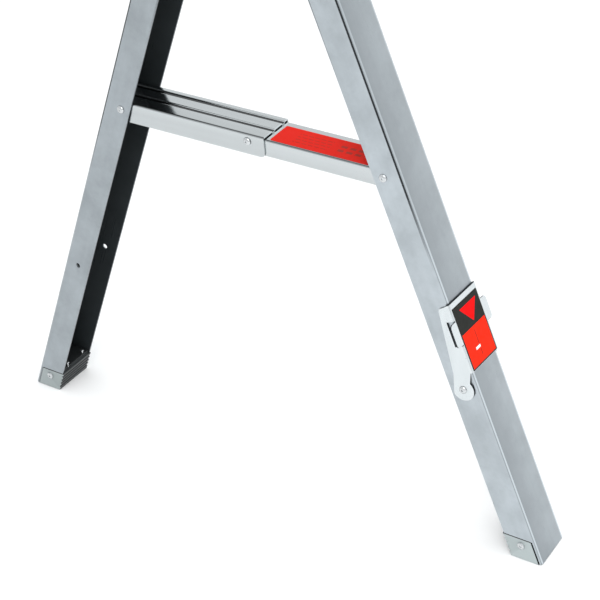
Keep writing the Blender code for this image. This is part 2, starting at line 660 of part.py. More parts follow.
def make_leg():
    hinge = make_empty("leg_axes", ladder, (0, HINGE_Y, HINGE_Z), (LEG_ANGLE, 0, 0))
    half = HEAD_WIDTH / 2
    block = bar_x(tongue_outline(), -half, half)
    head = make_object("leg_head", block, FRAME_METAL, hinge, smooth=True)
    plug_radius = UPPER_TUBE - TUBE_WALL - GAP
    plug = rod((0, 0, -UPPER_TUBE_TOP), (0, 0, 1), plug_radius, -PLUG_LENGTH, 10, TUBE_ROUND)
    combine(head, "UNION", [plug])
    combine(head, "DIFFERENCE", [rod((0, 0, 0), (1, 0, 0), HINGE_BOLT + GAP, -60, 60)])
    upper = tube(UPPER_TUBE, TUBE_WALL, UPPER_TUBE_TOP + GAP, UPPER_TUBE_END)
    make_object("leg_upper_tube", upper, TUBE_METAL, hinge, smooth=True)

    grip, slide = UPPER_TUBE + GAP, LOWER_TUBE + GAP
    top, end = UPPER_TUBE_END - 32, UPPER_TUBE_END + 26
    rim = COLLAR_RADIUS - 1.5
    ring = [(grip, -top), (rim, -top), (COLLAR_RADIUS, -top - 1.5), (COLLAR_RADIUS, -end + 1.5)]
    ring += [(rim, -end), (slide, -end), (slide, -UPPER_TUBE_END - GAP), (grip, -UPPER_TUBE_END - GAP)]
    sleeve = turned(ring, TUBE_ROUND, ring=True)
    collar = make_object("clamp_collar", sleeve, COLLAR_BLACK, hinge, smooth=True)
    knob_z = -(UPPER_TUBE_END + 12)
    boss = place(turned([(0, 20), (9, 20), (9, 36), (0, 36)], 16), (0, 0, knob_z), (1, 0, 0))
    combine(collar, "UNION", [boss])
    combine(collar, "DIFFERENCE", [rod((0, 0, knob_z), (1, 0, 0), 4.0 + GAP, 10, 50)])

    knob_axes = make_empty("knob_axes", hinge, (0, 0, knob_z), (0, math.pi / 2, 0))
    lobes, turns = 5, 40
    lobed = []
    for i in range(turns):
        a = 2 * math.pi * i / turns
        radius = 19 + 2.6 * math.cos(lobes * a)
        lobed.append((radius * math.cos(a), radius * math.sin(a)))

    def rim_ring(scale, height):
        return [(x * scale, y * scale, height) for x, y in lobed]

    knob_body = loft(rim_ring(0.9, 38), rim_ring(1.0, 40), rim_ring(1.0, 50), rim_ring(0.86, 53))
    knob = make_object("clamp_knob", knob_body, COLLAR_BLACK, knob_axes, smooth=True)
    combine(knob, "UNION", [turned([(0, 17.5), (4.0, 17.5), (4.0, 45), (0, 45)])])

    lower_end = LEG_LENGTH + 10
    lower = make_object("leg_lower_tube", tube(LOWER_TUBE, TUBE_WALL, LOWER_TUBE_TOP, lower_end), TUBE_METAL,
                        hinge, smooth=True)
    combine(lower, "DIFFERENCE", [rod((0, 0, -LEG_LENGTH), (1, 0, 0), 4.0 + GAP, -40, 40)])


def make_rear_foot():
    """A rubber-soled pad that tilts on a pin through the lower tube."""
    foot = make_empty("rear_foot_axes", ladder, (0, REAR_REACH, FOOT_PIN_HEIGHT))
    drop = -FOOT_PIN_HEIGHT
    hx, hy, sole = FOOT_WIDTH / 2, FOOT_LENGTH / 2, FOOT_SOLE

    def rounded(scale_x, scale_y, z):
        r = 12.0
        points = []
        for cx, cy, start in ((1, 1, 0), (-1, 1, 90), (-1, -1, 180), (1, -1, 270)):
            centre = (cx * (scale_x - r), cy * (scale_y - r))
            points += list(arc(centre, r, start, start + 90, 3))
        return [(x, y, z) for x, y in points]

    rubber = loft(rounded(hx, hy, drop), rounded(hx, hy, drop + 5), rounded(hx - 3, hy - 3, drop + 7))
    make_object("rear_foot_sole", rubber, RUBBER, foot, smooth=True)
    base = loft(rounded(hx - 3, hy - 3, drop + 7 + GAP), rounded(hx - 4, hy - 4, drop + sole))
    pad = make_object("rear_foot", base, SHOE_GREY, foot, smooth=True)
    ear = [(-14, drop + sole - 3)] + list(arc((0, 0), 12, 180, 0, 8)) + [(14, drop + sole - 3)]
    near = LOWER_TUBE + 1.0
    combine(pad, "UNION", [bar_x(ear, near, near + 5), bar_x(ear, -near - 5, -near)])
    combine(pad, "DIFFERENCE", [rod((0, 0, 0), (1, 0, 0), 4.0 + GAP, -60, 60)])
    end = near + 5 + GAP
    pin = [(0, end + 3), (6, end + 3), (7, end + 1.5), (7, end), (4, end), (4, -end)]
    pin += [(7, -end), (7, -end - 1.5), (6, -end - 3), (0, -end - 3)]
    make_object("rear_foot_pin", place(turned(pin, 12), (0, 0, 0), (1, 0, 0)), RIVET_METAL, foot, smooth=True)


for stile_side, stile_name in ((-1, "left"), (1, "right")):
    make_stile(stile_side, f"stile_{stile_name}")
    make_shoe(stile_side, f"shoe_{stile_name}")
make_lowest_step()
for step_number, step_height in enumerate(STEP_HEIGHTS[1:], start=2):
    make_full_step(step_number, step_height)
make_step_rivets()
make_step_label()
make_pedal()
make_head()
make_top_step()
make_hinge_bolt()
make_leg()
make_rear_foot()
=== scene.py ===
# %% [markdown]
# # A tripod step ladder
# The front frame is two flared channel stiles with four treads and a small top step.  A pedal folds
# out of the right stile, and one telescoping leg is hinged behind the top.  The solid model fixes
# every size and joint, so this lesson makes only the visible surfaces and the finishes around it.

# %% Load the frame
import math

import bmesh
import bpy
import numpy as np
from mathutils import Matrix


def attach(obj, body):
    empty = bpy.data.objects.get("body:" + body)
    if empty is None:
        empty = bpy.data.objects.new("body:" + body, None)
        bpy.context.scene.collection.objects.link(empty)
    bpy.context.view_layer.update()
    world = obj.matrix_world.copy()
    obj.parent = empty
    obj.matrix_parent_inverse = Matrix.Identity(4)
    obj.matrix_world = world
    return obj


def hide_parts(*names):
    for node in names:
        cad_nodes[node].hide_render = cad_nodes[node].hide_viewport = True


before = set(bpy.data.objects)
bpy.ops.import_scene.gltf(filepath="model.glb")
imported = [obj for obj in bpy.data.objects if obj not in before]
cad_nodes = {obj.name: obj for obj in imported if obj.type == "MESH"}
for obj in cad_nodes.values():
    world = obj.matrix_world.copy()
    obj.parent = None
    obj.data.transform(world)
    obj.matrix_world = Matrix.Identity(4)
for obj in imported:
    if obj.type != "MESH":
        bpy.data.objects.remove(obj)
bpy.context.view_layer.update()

# %% [markdown]
# ## The ladder's layout
# Sizes are in millimetres, as a maker's drawing has them.  The front frame leans back by 3 degrees,
# so it is easiest to place its pieces in its own upright axes (across, depth, height) and to turn
# them at the end.  The leg and the pedal have axes of their own in the same way.

# %% Sizes that several pieces share
MM = 0.001
GAP = 0.3
LEAN, FLARE = math.radians(3.0), math.radians(21.25)
BASE_WIDTH, BEND_HEIGHT = 740.0, 660.0
WEB, FLANGE, GAUGE = 55.0, 35.0, 2.0
UPPER_HALF = BASE_WIDTH / 2 - BEND_HEIGHT * math.tan(FLARE)
CHANNEL_IN = GAUGE + GAP
STEP_HEIGHTS = (450.0, 750.0, 1050.0, 1350.0)
TOP_HEIGHT, STILE_TOP = 1650.0, 1622.0
HINGE_DEPTH, HINGE_HEIGHT = 86.0, 1576.0
REAR_REACH, FOOT_PIN_HEIGHT, FOOT_LENGTH = 1120.0, 36.0, 90.0
SCREW_HEIGHT, SCREW_DOME = 19.0, 2.2
HINGE_Y = HINGE_HEIGHT * math.sin(LEAN) + HINGE_DEPTH * math.cos(LEAN)
HINGE_Z = HINGE_HEIGHT * math.cos(LEAN) - HINGE_DEPTH * math.sin(LEAN)
LEG_ANGLE = math.atan2(REAR_REACH - HINGE_Y, HINGE_Z - FOOT_PIN_HEIGHT)
SCREW_FRONT = -(GAP + SCREW_DOME) * math.cos(LEAN) + SCREW_HEIGHT * math.sin(LEAN)
MIDDLE_Y = (REAR_REACH + FOOT_LENGTH / 2 + SCREW_FRONT) / 2
print("leg angle", round(math.degrees(LEG_ANGLE), 2), "degrees, frame origin", round(MIDDLE_Y, 2), "mm")


# %% Three sets of axes
def in_front_frame(across, depth, height):
    """Front frame to the ladder: turn (depth, height) by the lean, then move the origin back."""
    across, depth, height = np.broadcast_arrays(across, depth, height)
    back = depth * np.cos(LEAN) + height * np.sin(LEAN) - MIDDLE_Y
    up = height * np.cos(LEAN) - depth * np.sin(LEAN)
    return np.stack([across, back, up], axis=-1) * MM


def in_leg(across, back, up):
    """Leg to the ladder: turn (back, up) by the leg's angle about the hinge."""
    across, back, up = np.broadcast_arrays(across, back, up)
    y = HINGE_Y + back * np.cos(LEG_ANGLE) - up * np.sin(LEG_ANGLE) - MIDDLE_Y
    z = HINGE_Z + back * np.sin(LEG_ANGLE) + up * np.cos(LEG_ANGLE)
    return np.stack([across, y, z], axis=-1) * MM


def stile_x(height, inset=0.0):
    """Distance from the middle to a line `inset` inside the web: flared below the bend, upright above."""
    turn = BEND_HEIGHT - inset * (1 / np.cos(FLARE) - 1) / np.tan(FLARE)
    flared = BASE_WIDTH / 2 - height * np.tan(FLARE) - inset / np.cos(FLARE)
    return np.where(height >= turn, UPPER_HALF - inset, flared)


PIVOT_UP, PIVOT_INSET = 229.0, 18.0
PIVOT_X = BASE_WIDTH / 2 - PIVOT_UP * math.sin(FLARE) - PIVOT_INSET * math.cos(FLARE)
PIVOT_V = PIVOT_UP * math.cos(FLARE) - PIVOT_INSET * math.sin(FLARE)


def in_pedal(out, across, up):
    """Pedal to the ladder: (out, up) from the pivot, turned by the flare, in the front frame."""
    return in_front_frame(PIVOT_X + out * np.cos(FLARE) - up * np.sin(FLARE), WEB / 2 + across,
                          PIVOT_V + out * np.sin(FLARE) + up * np.cos(FLARE))


LEAN_BACK = np.array([0.0, math.cos(LEAN), -math.sin(LEAN)])
LEAN_UP = np.array([0.0, math.sin(LEAN), math.cos(LEAN)])
LEG_UP = np.array([0.0, -math.sin(LEG_ANGLE), math.cos(LEG_ANGLE)])
print("pedal pivot", in_pedal(0.0, 0.0, 0.0).round(4))

# %% [markdown]
# ## Shader sums in plain Python
# A finish is a sum of simple patterns, such as streaks, clouds and worn edges.  Wrapping a socket in
# a small class lets those sums be written with + and *, and each one adds its Math node.

# %% A socket that can be added and multiplied
def math_node(operation, flipped=False):
    """An operator that adds one Math node, with its two sides swapped if `flipped`."""
    def operator(self, other):
        first, second = (other, self) if flipped else (self, other)
        return self.finish.node("ShaderNodeMath", {"operation": operation}, {0: first, 1: second})
    return operator


class Wire:
    """A value in a finish.  Ordinary arithmetic on it adds Math nodes."""

    def __init__(self, finish, socket):
        self.finish, self.socket = finish, socket

    __add__ = __radd__ = math_node("ADD")
    __mul__ = __rmul__ = math_node("MULTIPLY")
    __sub__, __rsub__ = math_node("SUBTRACT"), math_node("SUBTRACT", flipped=True)
    __truediv__ = math_node("DIVIDE")
    __gt__, __lt__ = math_node("GREATER_THAN"), math_node("LESS_THAN")


print("a wire can be added, subtracted, multiplied, divided and compared")


# %% A finish that adds its own nodes
class Finish:
    """A material or a room, with one method that adds any node to it."""

    def __init__(self, name, metallic=None, room=False):
        self.material = (bpy.data.worlds if room else bpy.data.materials).new(name)
        self.material.use_nodes = True
        self.tree = self.material.node_tree
        self.shader = self.tree.nodes["Background" if room else "Principled BSDF"]
        if metallic is not None:
            self.shader.inputs["Metallic"].default_value = metallic

    def node(self, kind, settings=None, sockets=None, out=0):
        """Add a node: its settings first, then the values or links of its sockets."""
        node = self.tree.nodes.new(kind)
        for key, value in (settings or {}).items():
            setattr(node, key, value)
        for key, value in (sockets or {}).items():
            self.feed(node.inputs[key], value)
        return Wire(self, node.outputs[out])

    def feed(self, socket, value):
        if isinstance(value, Wire):
            self.tree.links.new(value.socket, socket)
        else:
            socket.default_value = value

    def set(self, **values):
        for key, value in values.items():
            self.feed(self.shader.inputs[key.replace("_", " ")], value)

    def place(self):
        """The point on the surface, in the ladder's coordinates."""
        return self.node("ShaderNodeTexCoord", out="Object")

    def stored(self, name, out="Fac"):
        """A value that the mesh carries at each of its points."""
        return self.node("ShaderNodeAttribute", {"attribute_name": name}, out=out)

    def under(self):
        """The colour that the shader has so far, to mix something over it."""
        return Wire(self, self.shader.inputs["Base Color"].links[0].from_socket)

    def axes_of(self, vector):
        """The three numbers of a vector."""
        first = self.node("ShaderNodeSeparateXYZ", None, {0: vector})
        return [Wire(self, output) for output in first.socket.node.outputs]

    def whole(self, operation, value):
        """A Math node with one input, such as FRACT or ABSOLUTE."""
        return self.node("ShaderNodeMath", {"operation": operation}, {0: value})

    def blend(self, mask, first, second):
        """A colour between two: the first where the mask is 0, the second where it is 1."""
        ends = [value if isinstance(value, Wire) else (*value, 1.0) for value in (first, second)]
        sockets = {0: mask, 6: ends[0], 7: ends[1]}
        return self.node("ShaderNodeMix", {"data_type": "RGBA"}, sockets, out=2)

    def noise(self, where, scale, detail=3.0, roughness=0.5):
        return self.node("ShaderNodeTexNoise", None,
                         {"Vector": where, "Scale": scale, "Detail": detail, "Roughness": roughness})

    def stretched(self, where, scale):
        """Coordinates times a different number each way, which draws a pattern out into streaks."""
        return self.node("ShaderNodeVectorMath", {"operation": "MULTIPLY"}, {0: where, 1: scale})

    def relief(self, height, strength, distance):
        return self.node("ShaderNodeBump", None,
                         {"Height": height, "Strength": strength, "Distance": distance})

    def ramp(self, value, low, high):
        """0 below low, 1 above high, and a straight climb between."""
        return self.node("ShaderNodeMapRange", None, {"Value": value, "From Min": low, "From Max": high})


print("shader sums ready")

# %% [markdown]
# ## Camera, floor and light
# A catalogue view looks down on the foot of the ladder with a long lens, which keeps the straight
# edges calm.  Bare metal shows what surrounds it, so the light is a pale room, a few big soft
# panels and a white floor, rather than small hard lamps.  The room is a little dimmer near its
# horizon, so that upright faces look different from level ones.

# %% Camera
AIM = np.array([0.070, -0.582, 0.268])
AZIMUTH, ELEVATION, ROLL = math.radians(36.2), math.radians(34.25), math.radians(5.25)
DISTANCE, LENS, SENSOR = 2.0135, 108.4, 36.0



def place_in_scene(thing, side, up, away, spot):
    """Put a camera or a light at `spot`, with its own three axes along side, up and away."""
    bpy.context.scene.collection.objects.link(thing)
    axes = np.eye(4)
    axes[:3, :3] = np.stack([side, up, away], axis=1)
    axes[:3, 3] = spot
    thing.matrix_world = Matrix(axes.tolist())


look = np.array([-math.sin(AZIMUTH) * math.cos(ELEVATION), math.cos(AZIMUTH) * math.cos(ELEVATION),
                 -math.sin(ELEVATION)])
level_right = np.array([math.cos(AZIMUTH), math.sin(AZIMUTH), 0.0])
level_up = np.cross(level_right, look)
right = level_right * math.cos(ROLL) - level_up * math.sin(ROLL)
above = np.cross(right, look)
camera = bpy.data.objects.new("view_camera", bpy.data.cameras.new("view_camera"))
camera_spot = AIM - look * DISTANCE
place_in_scene(camera, right, above, -look, camera_spot)
camera.data.lens, camera.data.sensor_width = LENS, SENSOR
camera.data.clip_start, camera.data.clip_end = 0.05, 60.0
bpy.context.scene.camera = camera
print("camera at", camera_spot.round(3))

# %% A pale room and soft panels
bpy.context.scene.view_settings.view_transform = "Standard"
bpy.context.scene.view_settings.look = "None"
room = Finish("pale_room", room=True)
_, _, skyward = room.axes_of(room.node("ShaderNodeTexCoord", out="Generated"))
climb = room.ramp(skyward, 0.02, 0.42)
room.set(Color=room.blend(climb, (0.86, 0.875, 0.89), (0.97, 0.99, 1.0)), Strength=1.0)
bpy.context.scene.world = room.material


def soft_panel(name, place, target, size, power):
    """A square area light at `place` that faces `target`."""
    light = bpy.data.lights.new(name, "AREA")
    light.size, light.energy = size, power
    away = np.array(place, float) - np.array(target, float)
    away /= np.linalg.norm(away)
    side = np.cross((0.0, 1.0, 0.01), away)
    side /= np.linalg.norm(side)
    place_in_scene(bpy.data.objects.new(name, light), side, np.cross(away, side), away, place)


soft_panel("panel_over_front", (1.3, -2.6, 3.2), (0.1, -0.6, 0.2), 2.4, 62.0)
soft_panel("panel_right", (3.4, 0.4, 2.6), (0.0, -0.4, 0.5), 2.0, 22.0)
soft_panel("panel_behind", (2.4, 3.4, 3.2), (0.0, 0.0, 0.6), 2.2, 22.0)
print("lights:", [light.name for light in bpy.data.lights if light.name.startswith("panel")])


# %% [markdown]
# ## Surfaces from numbers
# Each new piece is a grid of points worked out by a formula: one direction runs along a profile,
# and the other carries the profile along a path or round an axis.  Neighbouring points make quads,
# and welding closes seams and poles.  This is quicker to change than pushed vertices, and it gives
# the same mesh each time.

# %% Quads, seams and sewing
def quads(rows, columns, close_rows=False, close_columns=False):
    """Corner numbers of the faces between neighbouring rows and columns of a grid."""
    number = np.arange(rows * columns).reshape(rows, columns)
    number = np.vstack([number, number[:1]]) if close_rows else number
    number = np.hstack([number, number[:, :1]]) if close_columns else number
    corners = [number[:-1, :-1], number[:-1, 1:], number[1:, 1:], number[1:, :-1]]
    return np.stack(corners, axis=-1).reshape(-1, 4)


def sheet_ends(rows, columns):
    """Faces that close both ends of a bar whose section runs out along one face and back along the other."""
    step = np.arange(columns // 2 - 1)
    first = np.stack([step, step + 1, columns - 2 - step, columns - 1 - step], axis=-1)
    return np.concatenate([first, first[:, ::-1] + (rows - 1) * columns])


WELD = 2e-6


def weld(mesh, outwards=True):
    """Merge points that coincide, drop faces without area, and turn the faces outwards."""
    work = bmesh.new()
    work.from_mesh(mesh)
    bmesh.ops.remove_doubles(work, verts=work.verts, dist=WELD)
    bmesh.ops.dissolve_degenerate(work, edges=work.edges, dist=WELD)
    if outwards:
        bmesh.ops.recalc_face_normals(work, faces=work.faces)
    work.to_mesh(mesh)
    work.free()


print("a closed 3 x 4 grid has", len(quads(3, 4, close_columns=True)), "faces")


# %% Sewing patches into a piece
def sew(name, *patches, marks=None, crease=35.0):
    """One object from patches of (points, faces).  `marks` are flat map coordinates for each point."""
    clouds = [points.reshape(-1, 3) for points, _ in patches]
    start = np.cumsum([0] + [len(cloud) for cloud in clouds[:-1]])
    faces = np.concatenate([faces + first for (_, faces), first in zip(patches, start)])
    mesh = bpy.data.meshes.new(name)
    mesh.from_pydata(np.concatenate(clouds).tolist(), [], faces.tolist())
    if marks is not None:
        corner = np.empty(len(mesh.loops), np.int32)
        mesh.loops.foreach_get("vertex_index", corner)
        mesh.uv_layers.new(name="print").data.foreach_set("uv", marks.reshape(-1, 2)[corner].ravel())
    weld(mesh)
    return stand(name, mesh, crease)


def stand(name, mesh, crease):
    """Put a mesh in the scene, smooth across bends that are gentler than `crease` degrees."""
    mesh.shade_smooth()
    mesh.set_sharp_from_angle(angle=math.radians(crease))
    piece = bpy.data.objects.new(name, mesh)
    bpy.context.scene.collection.objects.link(piece)
    return piece


def even_shading(piece):
    """Let large flat faces decide the normals at their edges, so that flats beside a bend look flat."""
    even = piece.modifiers.new("even_shading", "WEIGHTED_NORMAL")
    even.keep_sharp = True
    return piece


print("points within", WELD / MM, "mm are welded")


# %% Softened paths, turned shapes and bars
def soften(corners, radius, steps=6):
    """Round a path's corners: (1-t)^2 A + 2t(1-t) P + t^2 B, with A and B `radius` before and after P."""
    corners = np.asarray(corners, float)
    radius = np.broadcast_to(radius, len(corners)).reshape(-1, 1)
    reach = [np.roll(corners, shift, axis=0) - corners for shift in (1, -1)]
    before, after = [corners + radius * r / np.linalg.norm(r, axis=1, keepdims=True) for r in reach]
    t = np.linspace(0.0, 1.0, steps)[None, :, None]
    bent = (1 - t) ** 2 * before[:, None] + 2 * t * (1 - t) * corners[:, None] + t ** 2 * after[:, None]
    return bent.reshape(-1, 2)


def turned(profile, spot, axis, sides=40, ring=False, lobes=0, lobe_depth=0.0):
    """Points spot + h axis + r (side cos a + other sin a), for each (r, h) of the profile and angle a.

    A lobed shape multiplies r by 1 + lobe_depth cos(lobes a)."""
    profile = np.asarray(profile, float) * MM
    axis = np.asarray(axis, float) / np.linalg.norm(axis)
    side = np.cross(axis, (0.0, 0.0, 1.0) if abs(axis[2]) < 0.8 else (1.0, 0.0, 0.0))
    side /= np.linalg.norm(side)
    other = np.cross(axis, side)
    angle = np.arange(sides) * 2 * np.pi / sides
    spokes = np.cos(angle)[:, None] * side + np.sin(angle)[:, None] * other
    spokes = spokes * (1 + lobe_depth * np.cos(lobes * angle))[:, None]
    points = np.asarray(spot) + profile[:, 1, None, None] * axis + profile[:, 0, None, None] * spokes
    return points, quads(len(profile), sides, close_rows=ring, close_columns=True)


def bar(outer, inner, left, right_end, place):
    """A sheet's section, out along `outer` and back along `inner`, carried from one end to the other.

    left and right_end give x for each (depth, height) of the section, and `place` turns it to the ladder."""
    section = np.concatenate([outer, inner[::-1]])
    ends = np.stack([left(section), right_end(section)])
    points = place(ends, section[None, :, 0], section[None, :, 1])
    rows, columns = ends.shape
    return points, np.concatenate([quads(rows, columns, close_columns=True), sheet_ends(rows, columns)])


print("a softened square has", len(soften([(0, 0), (1, 0), (1, 1), (0, 1)], 0.2)), "points")


# %% [markdown]
# ## Metal finishes
# Rolled and brushed metal is a mirror with very fine scratches that all run one way.  Those are made
# by stretching a noise along the sheet.  A second, cloudy noise stands for handling marks, and makes
# some patches duller than others.

# %% Metal, with its grain along one direction
STREAK, CLOUD, SPECK = 900.0, 9.0, 260.0
EVEN, ACROSS, UPRIGHT = (1.0, 1.0, 1.0), (0.02, 1.0, 1.0), (1.0, 1.0, 0.02)
ALONG_LEG = (1.0, 0.3, 0.2)


def metal(name, colour, roughness, along, grain=None, streaks=0.10, marks=0.08, depth=0.15):
    """Metal with streaks along the axis whose number in `along` is small.

    `grain` names the piece's own coordinates; without it the ladder's coordinates are used."""
    finish = Finish(name, metallic=1.0)
    where = finish.stored(grain, "Vector") if grain else finish.place()
    drawn = finish.stretched(where, along)
    fine = finish.noise(drawn, STREAK, 2.0)
    broad = finish.noise(drawn, STREAK / 7, 3.0)
    cloud = finish.noise(where, CLOUD, 4.0, 0.6)
    specks = finish.ramp(finish.noise(where, SPECK, 2.0), 0.70, 0.78)
    pale = [min(1.0, c * 1.07) for c in colour]
    dull = [c * 0.86 for c in colour]
    tone = finish.blend(broad * 0.6 + cloud * 0.4, dull, pale)
    finish.set(Base_Color=finish.blend(specks * 0.25, tone, [c * 0.6 for c in colour]),
               Roughness=roughness + (fine - 0.5) * streaks + (cloud - 0.5) * marks + specks * 0.15,
               Normal=finish.relief(fine + broad * 0.5, depth, 0.0002))
    return finish


tread_metal = metal("bright_rolled_tread", (0.56, 0.59, 0.60), 0.15, ACROSS,
                    streaks=0.05, marks=0.05, depth=0.05)
# Painted shade: near black along the groove floors and the front top corner, and a little darker on the
# bands.
crease_shade = tread_metal.stored("painted_crease_shade") * 0.92
tread_metal.set(Base_Color=tread_metal.blend(crease_shade, tread_metal.under(), (0.012, 0.013, 0.014)))
tube_metal = metal("satin_drawn_tube", (0.50, 0.525, 0.55), 0.30, ALONG_LEG)
plated_sheet = metal("zinc_plated_sheet", (0.46, 0.48, 0.50), 0.36, ACROSS, marks=0.16)
cast_metal = metal("bead_blasted_casting", (0.42, 0.43, 0.44), 0.50, EVEN, depth=0.4)
pedal_metal = metal("bright_pressed_sheet", (0.66, 0.70, 0.715), 0.24, UPRIGHT,
                    streaks=0.06, depth=0.06)
# Painted shade: a near-black finish for the pedal's cut edges.
painted_edge_shade = metal("painted_shade_cut_edge", (0.045, 0.050, 0.055), 0.5, EVEN, depth=0.3)
head_metal = metal("smooth_rivet_head", (0.60, 0.62, 0.63), 0.22, EVEN, streaks=0.04, depth=0.05)
metals = (tread_metal, tube_metal, plated_sheet, cast_metal, pedal_metal, painted_edge_shade, head_metal)
print("metals:", [finish.material.name for finish in metals])

# %% [markdown]
# The stiles' outer faces are brushed and anodised, and their insides are painted near black as shade.  The
# stile's
# mesh carries two attributes: `grain`, its own (inset, depth, along) coordinates, so that the streaks
# turn with it at the bend, and `inside`, which is 1 on the inner faces.  At each fold a painted highlight
# runs where the web ends and, higher up, a painted dark line of shade where the flange begins.
# Clouds of two sizes mottle the metal.  The web has painted shade, the flange's free edge has painted shade
# near the bend, and a painted shadow lies in the gap beside the shoe's plate.

# %% Stile finish
def own_axes(finish):
    """A piece's own (inset, depth, along) in mm, and its distance from the nearer of front and back."""
    inset, depth, along = (number * (1 / MM) for number in finish.axes_of(finish.stored("grain", "Vector")))
    return inset, depth, along, WEB / 2 - finish.whole("ABSOLUTE", depth - WEB / 2)


def within(value, low, high):
    return (value > low) * (value < high)


BRUSHED, LINE_BLACK = (0.485, 0.530, 0.562), (0.008, 0.009, 0.010)
SHOE_PLATE, SHOE_NOTCH = 28.2, 4.0
PLATE_LINE = BEND_HEIGHT - (BEND_HEIGHT - SHOE_PLATE) / math.cos(FLARE)
# The left stile and shoe are darker copies of the right ones: painted shade.
PAINTED_SHADE_BY_SIDE, PAINTED_GAP_SHADOW_BY_SIDE = {"left": 0.78, "right": 1.0}, {"left": 0.25, "right": 1.0}


def stile_finish(name, shade, painted_gap_shadow):
    """Brushed metal times `shade`, the painted shade of its side: mottled, with painted shade on the web and
    inside, painted highlight and shade lines at its folds and edges, and a painted gap shadow by the shoe.
    """
    colour = [c * shade for c in BRUSHED]
    finish = metal(name, colour, 0.31, UPRIGHT, grain="grain", streaks=0.12, marks=0.12)
    inset, depth, along, from_face = own_axes(finish)
    inside, where = finish.stored("inside"), finish.place()
    broad = finish.ramp(finish.noise(where, 13.0, 5.0, 0.66), 0.40, 0.62)
    small = finish.ramp(finish.noise(where, 48.0, 4.0, 0.60), 0.42, 0.66)
    tone = finish.blend(broad * 0.38 + small * 0.18, finish.under(), [c * 0.60 for c in colour])
    # Painted shade on the web, darkest at the front.
    web = (inset < 1.0) * (0.80 - finish.ramp(depth, 0.0, 40.0) * 0.35)
    tone = finish.blend(web, tone, [c * 0.50 for c in colour])
    high = finish.ramp(along, 320.0, 410.0)
    # Painted dark lines of shade: along the fold high up, and along the flange's free edge above the bend.
    painted_fold_shade = within(inset, 0.9, 2.7) * (from_face < 1.2) * high
    painted_lip_shade = within(inset, FLANGE - 1.3, FLANGE + 1.0) * finish.ramp(along, 520.0, 700.0)
    # A painted highlight on the web beside each fold, fainter higher up.
    painted_fold_highlight = (inset < 0.8) * within(from_face, 1.6, 3.8)
    # A painted shadow in the gap beside the shoe's plate, weaker on the left.
    painted_shoe_gap_shadow = within(inset, 2.4, SHOE_NOTCH + 0.2) * (from_face < 1.0) * (along < PLATE_LINE) * painted_gap_shadow
    tone = finish.blend(painted_fold_highlight * (0.60 - high * 0.25), tone, [c * 1.45 for c in colour])
    tone = finish.blend((painted_fold_shade + painted_lip_shade) * 0.94 + painted_shoe_gap_shadow, tone, LINE_BLACK)
    # The inside is painted near black as shade, and is not metal.
    painted_inside_shade = finish.blend(finish.noise(where, 14.0, 3.0), (0.014, 0.017, 0.018), (0.038, 0.045, 0.049))
    finish.set(Base_Color=finish.blend(inside, tone, painted_inside_shade), Metallic=1.0 - inside)
    return finish


stile_metal = {side: stile_finish(f"brushed_stile_{side}", shade, PAINTED_GAP_SHADOW_BY_SIDE[side])
               for side, shade in PAINTED_SHADE_BY_SIDE.items()}
print("stile finishes:", list(stile_metal))


# %% [markdown]
# ## Plastics and rubber
# Moulded plastic has a fine spark-eroded grain, and it goes paler on the corners that get knocked.
# Pointiness finds those corners without any drawing.  A shoe has painted shade on its hollow side, in
# stripes at a fine rib pitch, and a painted shadow lies in the gap where its plate meets the flange above it
# and the web beside it.

# %% Moulded plastic
def moulded(name, colour, roughness, grain_size, relief):
    """Cloudy plastic with a fine grain, paler where Pointiness finds a corner."""
    finish = Finish(name)
    where = finish.place()
    grain = finish.noise(where, grain_size, 3.0, 0.6)
    cloud = finish.noise(where, 25.0, 3.0)
    corner = finish.ramp(finish.node("ShaderNodeNewGeometry", out="Pointiness"), 0.52, 0.60)
    tone = finish.blend(cloud, [c * 0.85 for c in colour], [min(1.0, c * 1.12) for c in colour])
    finish.set(Base_Color=finish.blend(corner * 0.5, tone, [min(1.0, c * 1.4 + 0.02) for c in colour]),
               Roughness=roughness + (grain - 0.5) * 0.2,
               Normal=finish.relief(grain, relief, 0.0003))
    return finish


GREY_GREEN, RIB_PITCH, PLATE_FACE = (0.350, 0.395, 0.398), 2.7, 0.4


def shoe_finish(name, shade):
    """Grey-green plastic times `shade`, the painted shade of its side, with painted shade in fine rib stripes
    on the hollow side and a painted gap shadow above and beside the plate.
    """
    finish = moulded(name, [c * shade for c in GREY_GREEN], 0.50, 1400.0, 0.25)
    inset, _, along, from_face = own_axes(finish)
    # Painted shade: the hollow side goes near black, in stripes at the rib pitch.
    hollow = (from_face > PLATE_FACE) * (inset > CHANNEL_IN + 1.0)
    plate = within(inset, SHOE_NOTCH + 0.4, 60.0) * (along < SHOE_PLATE - 1.1)
    # A painted shadow in the gap along the plate's top and side edges.
    painted_gap_shadow = (from_face < PLATE_FACE) * (1.0 - plate)
    rib = finish.whole("FRACT", along / RIB_PITCH)
    ribbed = finish.blend(within(rib, 0.25, 0.75), (0.018, 0.021, 0.022), (0.050, 0.057, 0.058))
    tone = finish.blend(hollow, finish.under(), ribbed)
    finish.set(Base_Color=finish.blend(painted_gap_shadow, tone, (0.010, 0.011, 0.012)))
    return finish


# Painted shade: the left shoe is a darker copy.
shoe_plastic = {side: shoe_finish(f"grey_green_shoe_{side}", shade) for side, shade in PAINTED_SHADE_BY_SIDE.items()}
foot_plastic = moulded("grey_green_foot", (0.36, 0.40, 0.40), 0.55, 1400.0, 0.25)
sole_rubber = moulded("black_sole_rubber", (0.022, 0.022, 0.023), 0.80, 900.0, 0.6)
clamp_plastic = moulded("black_clamp_plastic", (0.022, 0.022, 0.025), 0.42, 1100.0, 0.3)
print("plastics: shoe, foot, sole and clamp")


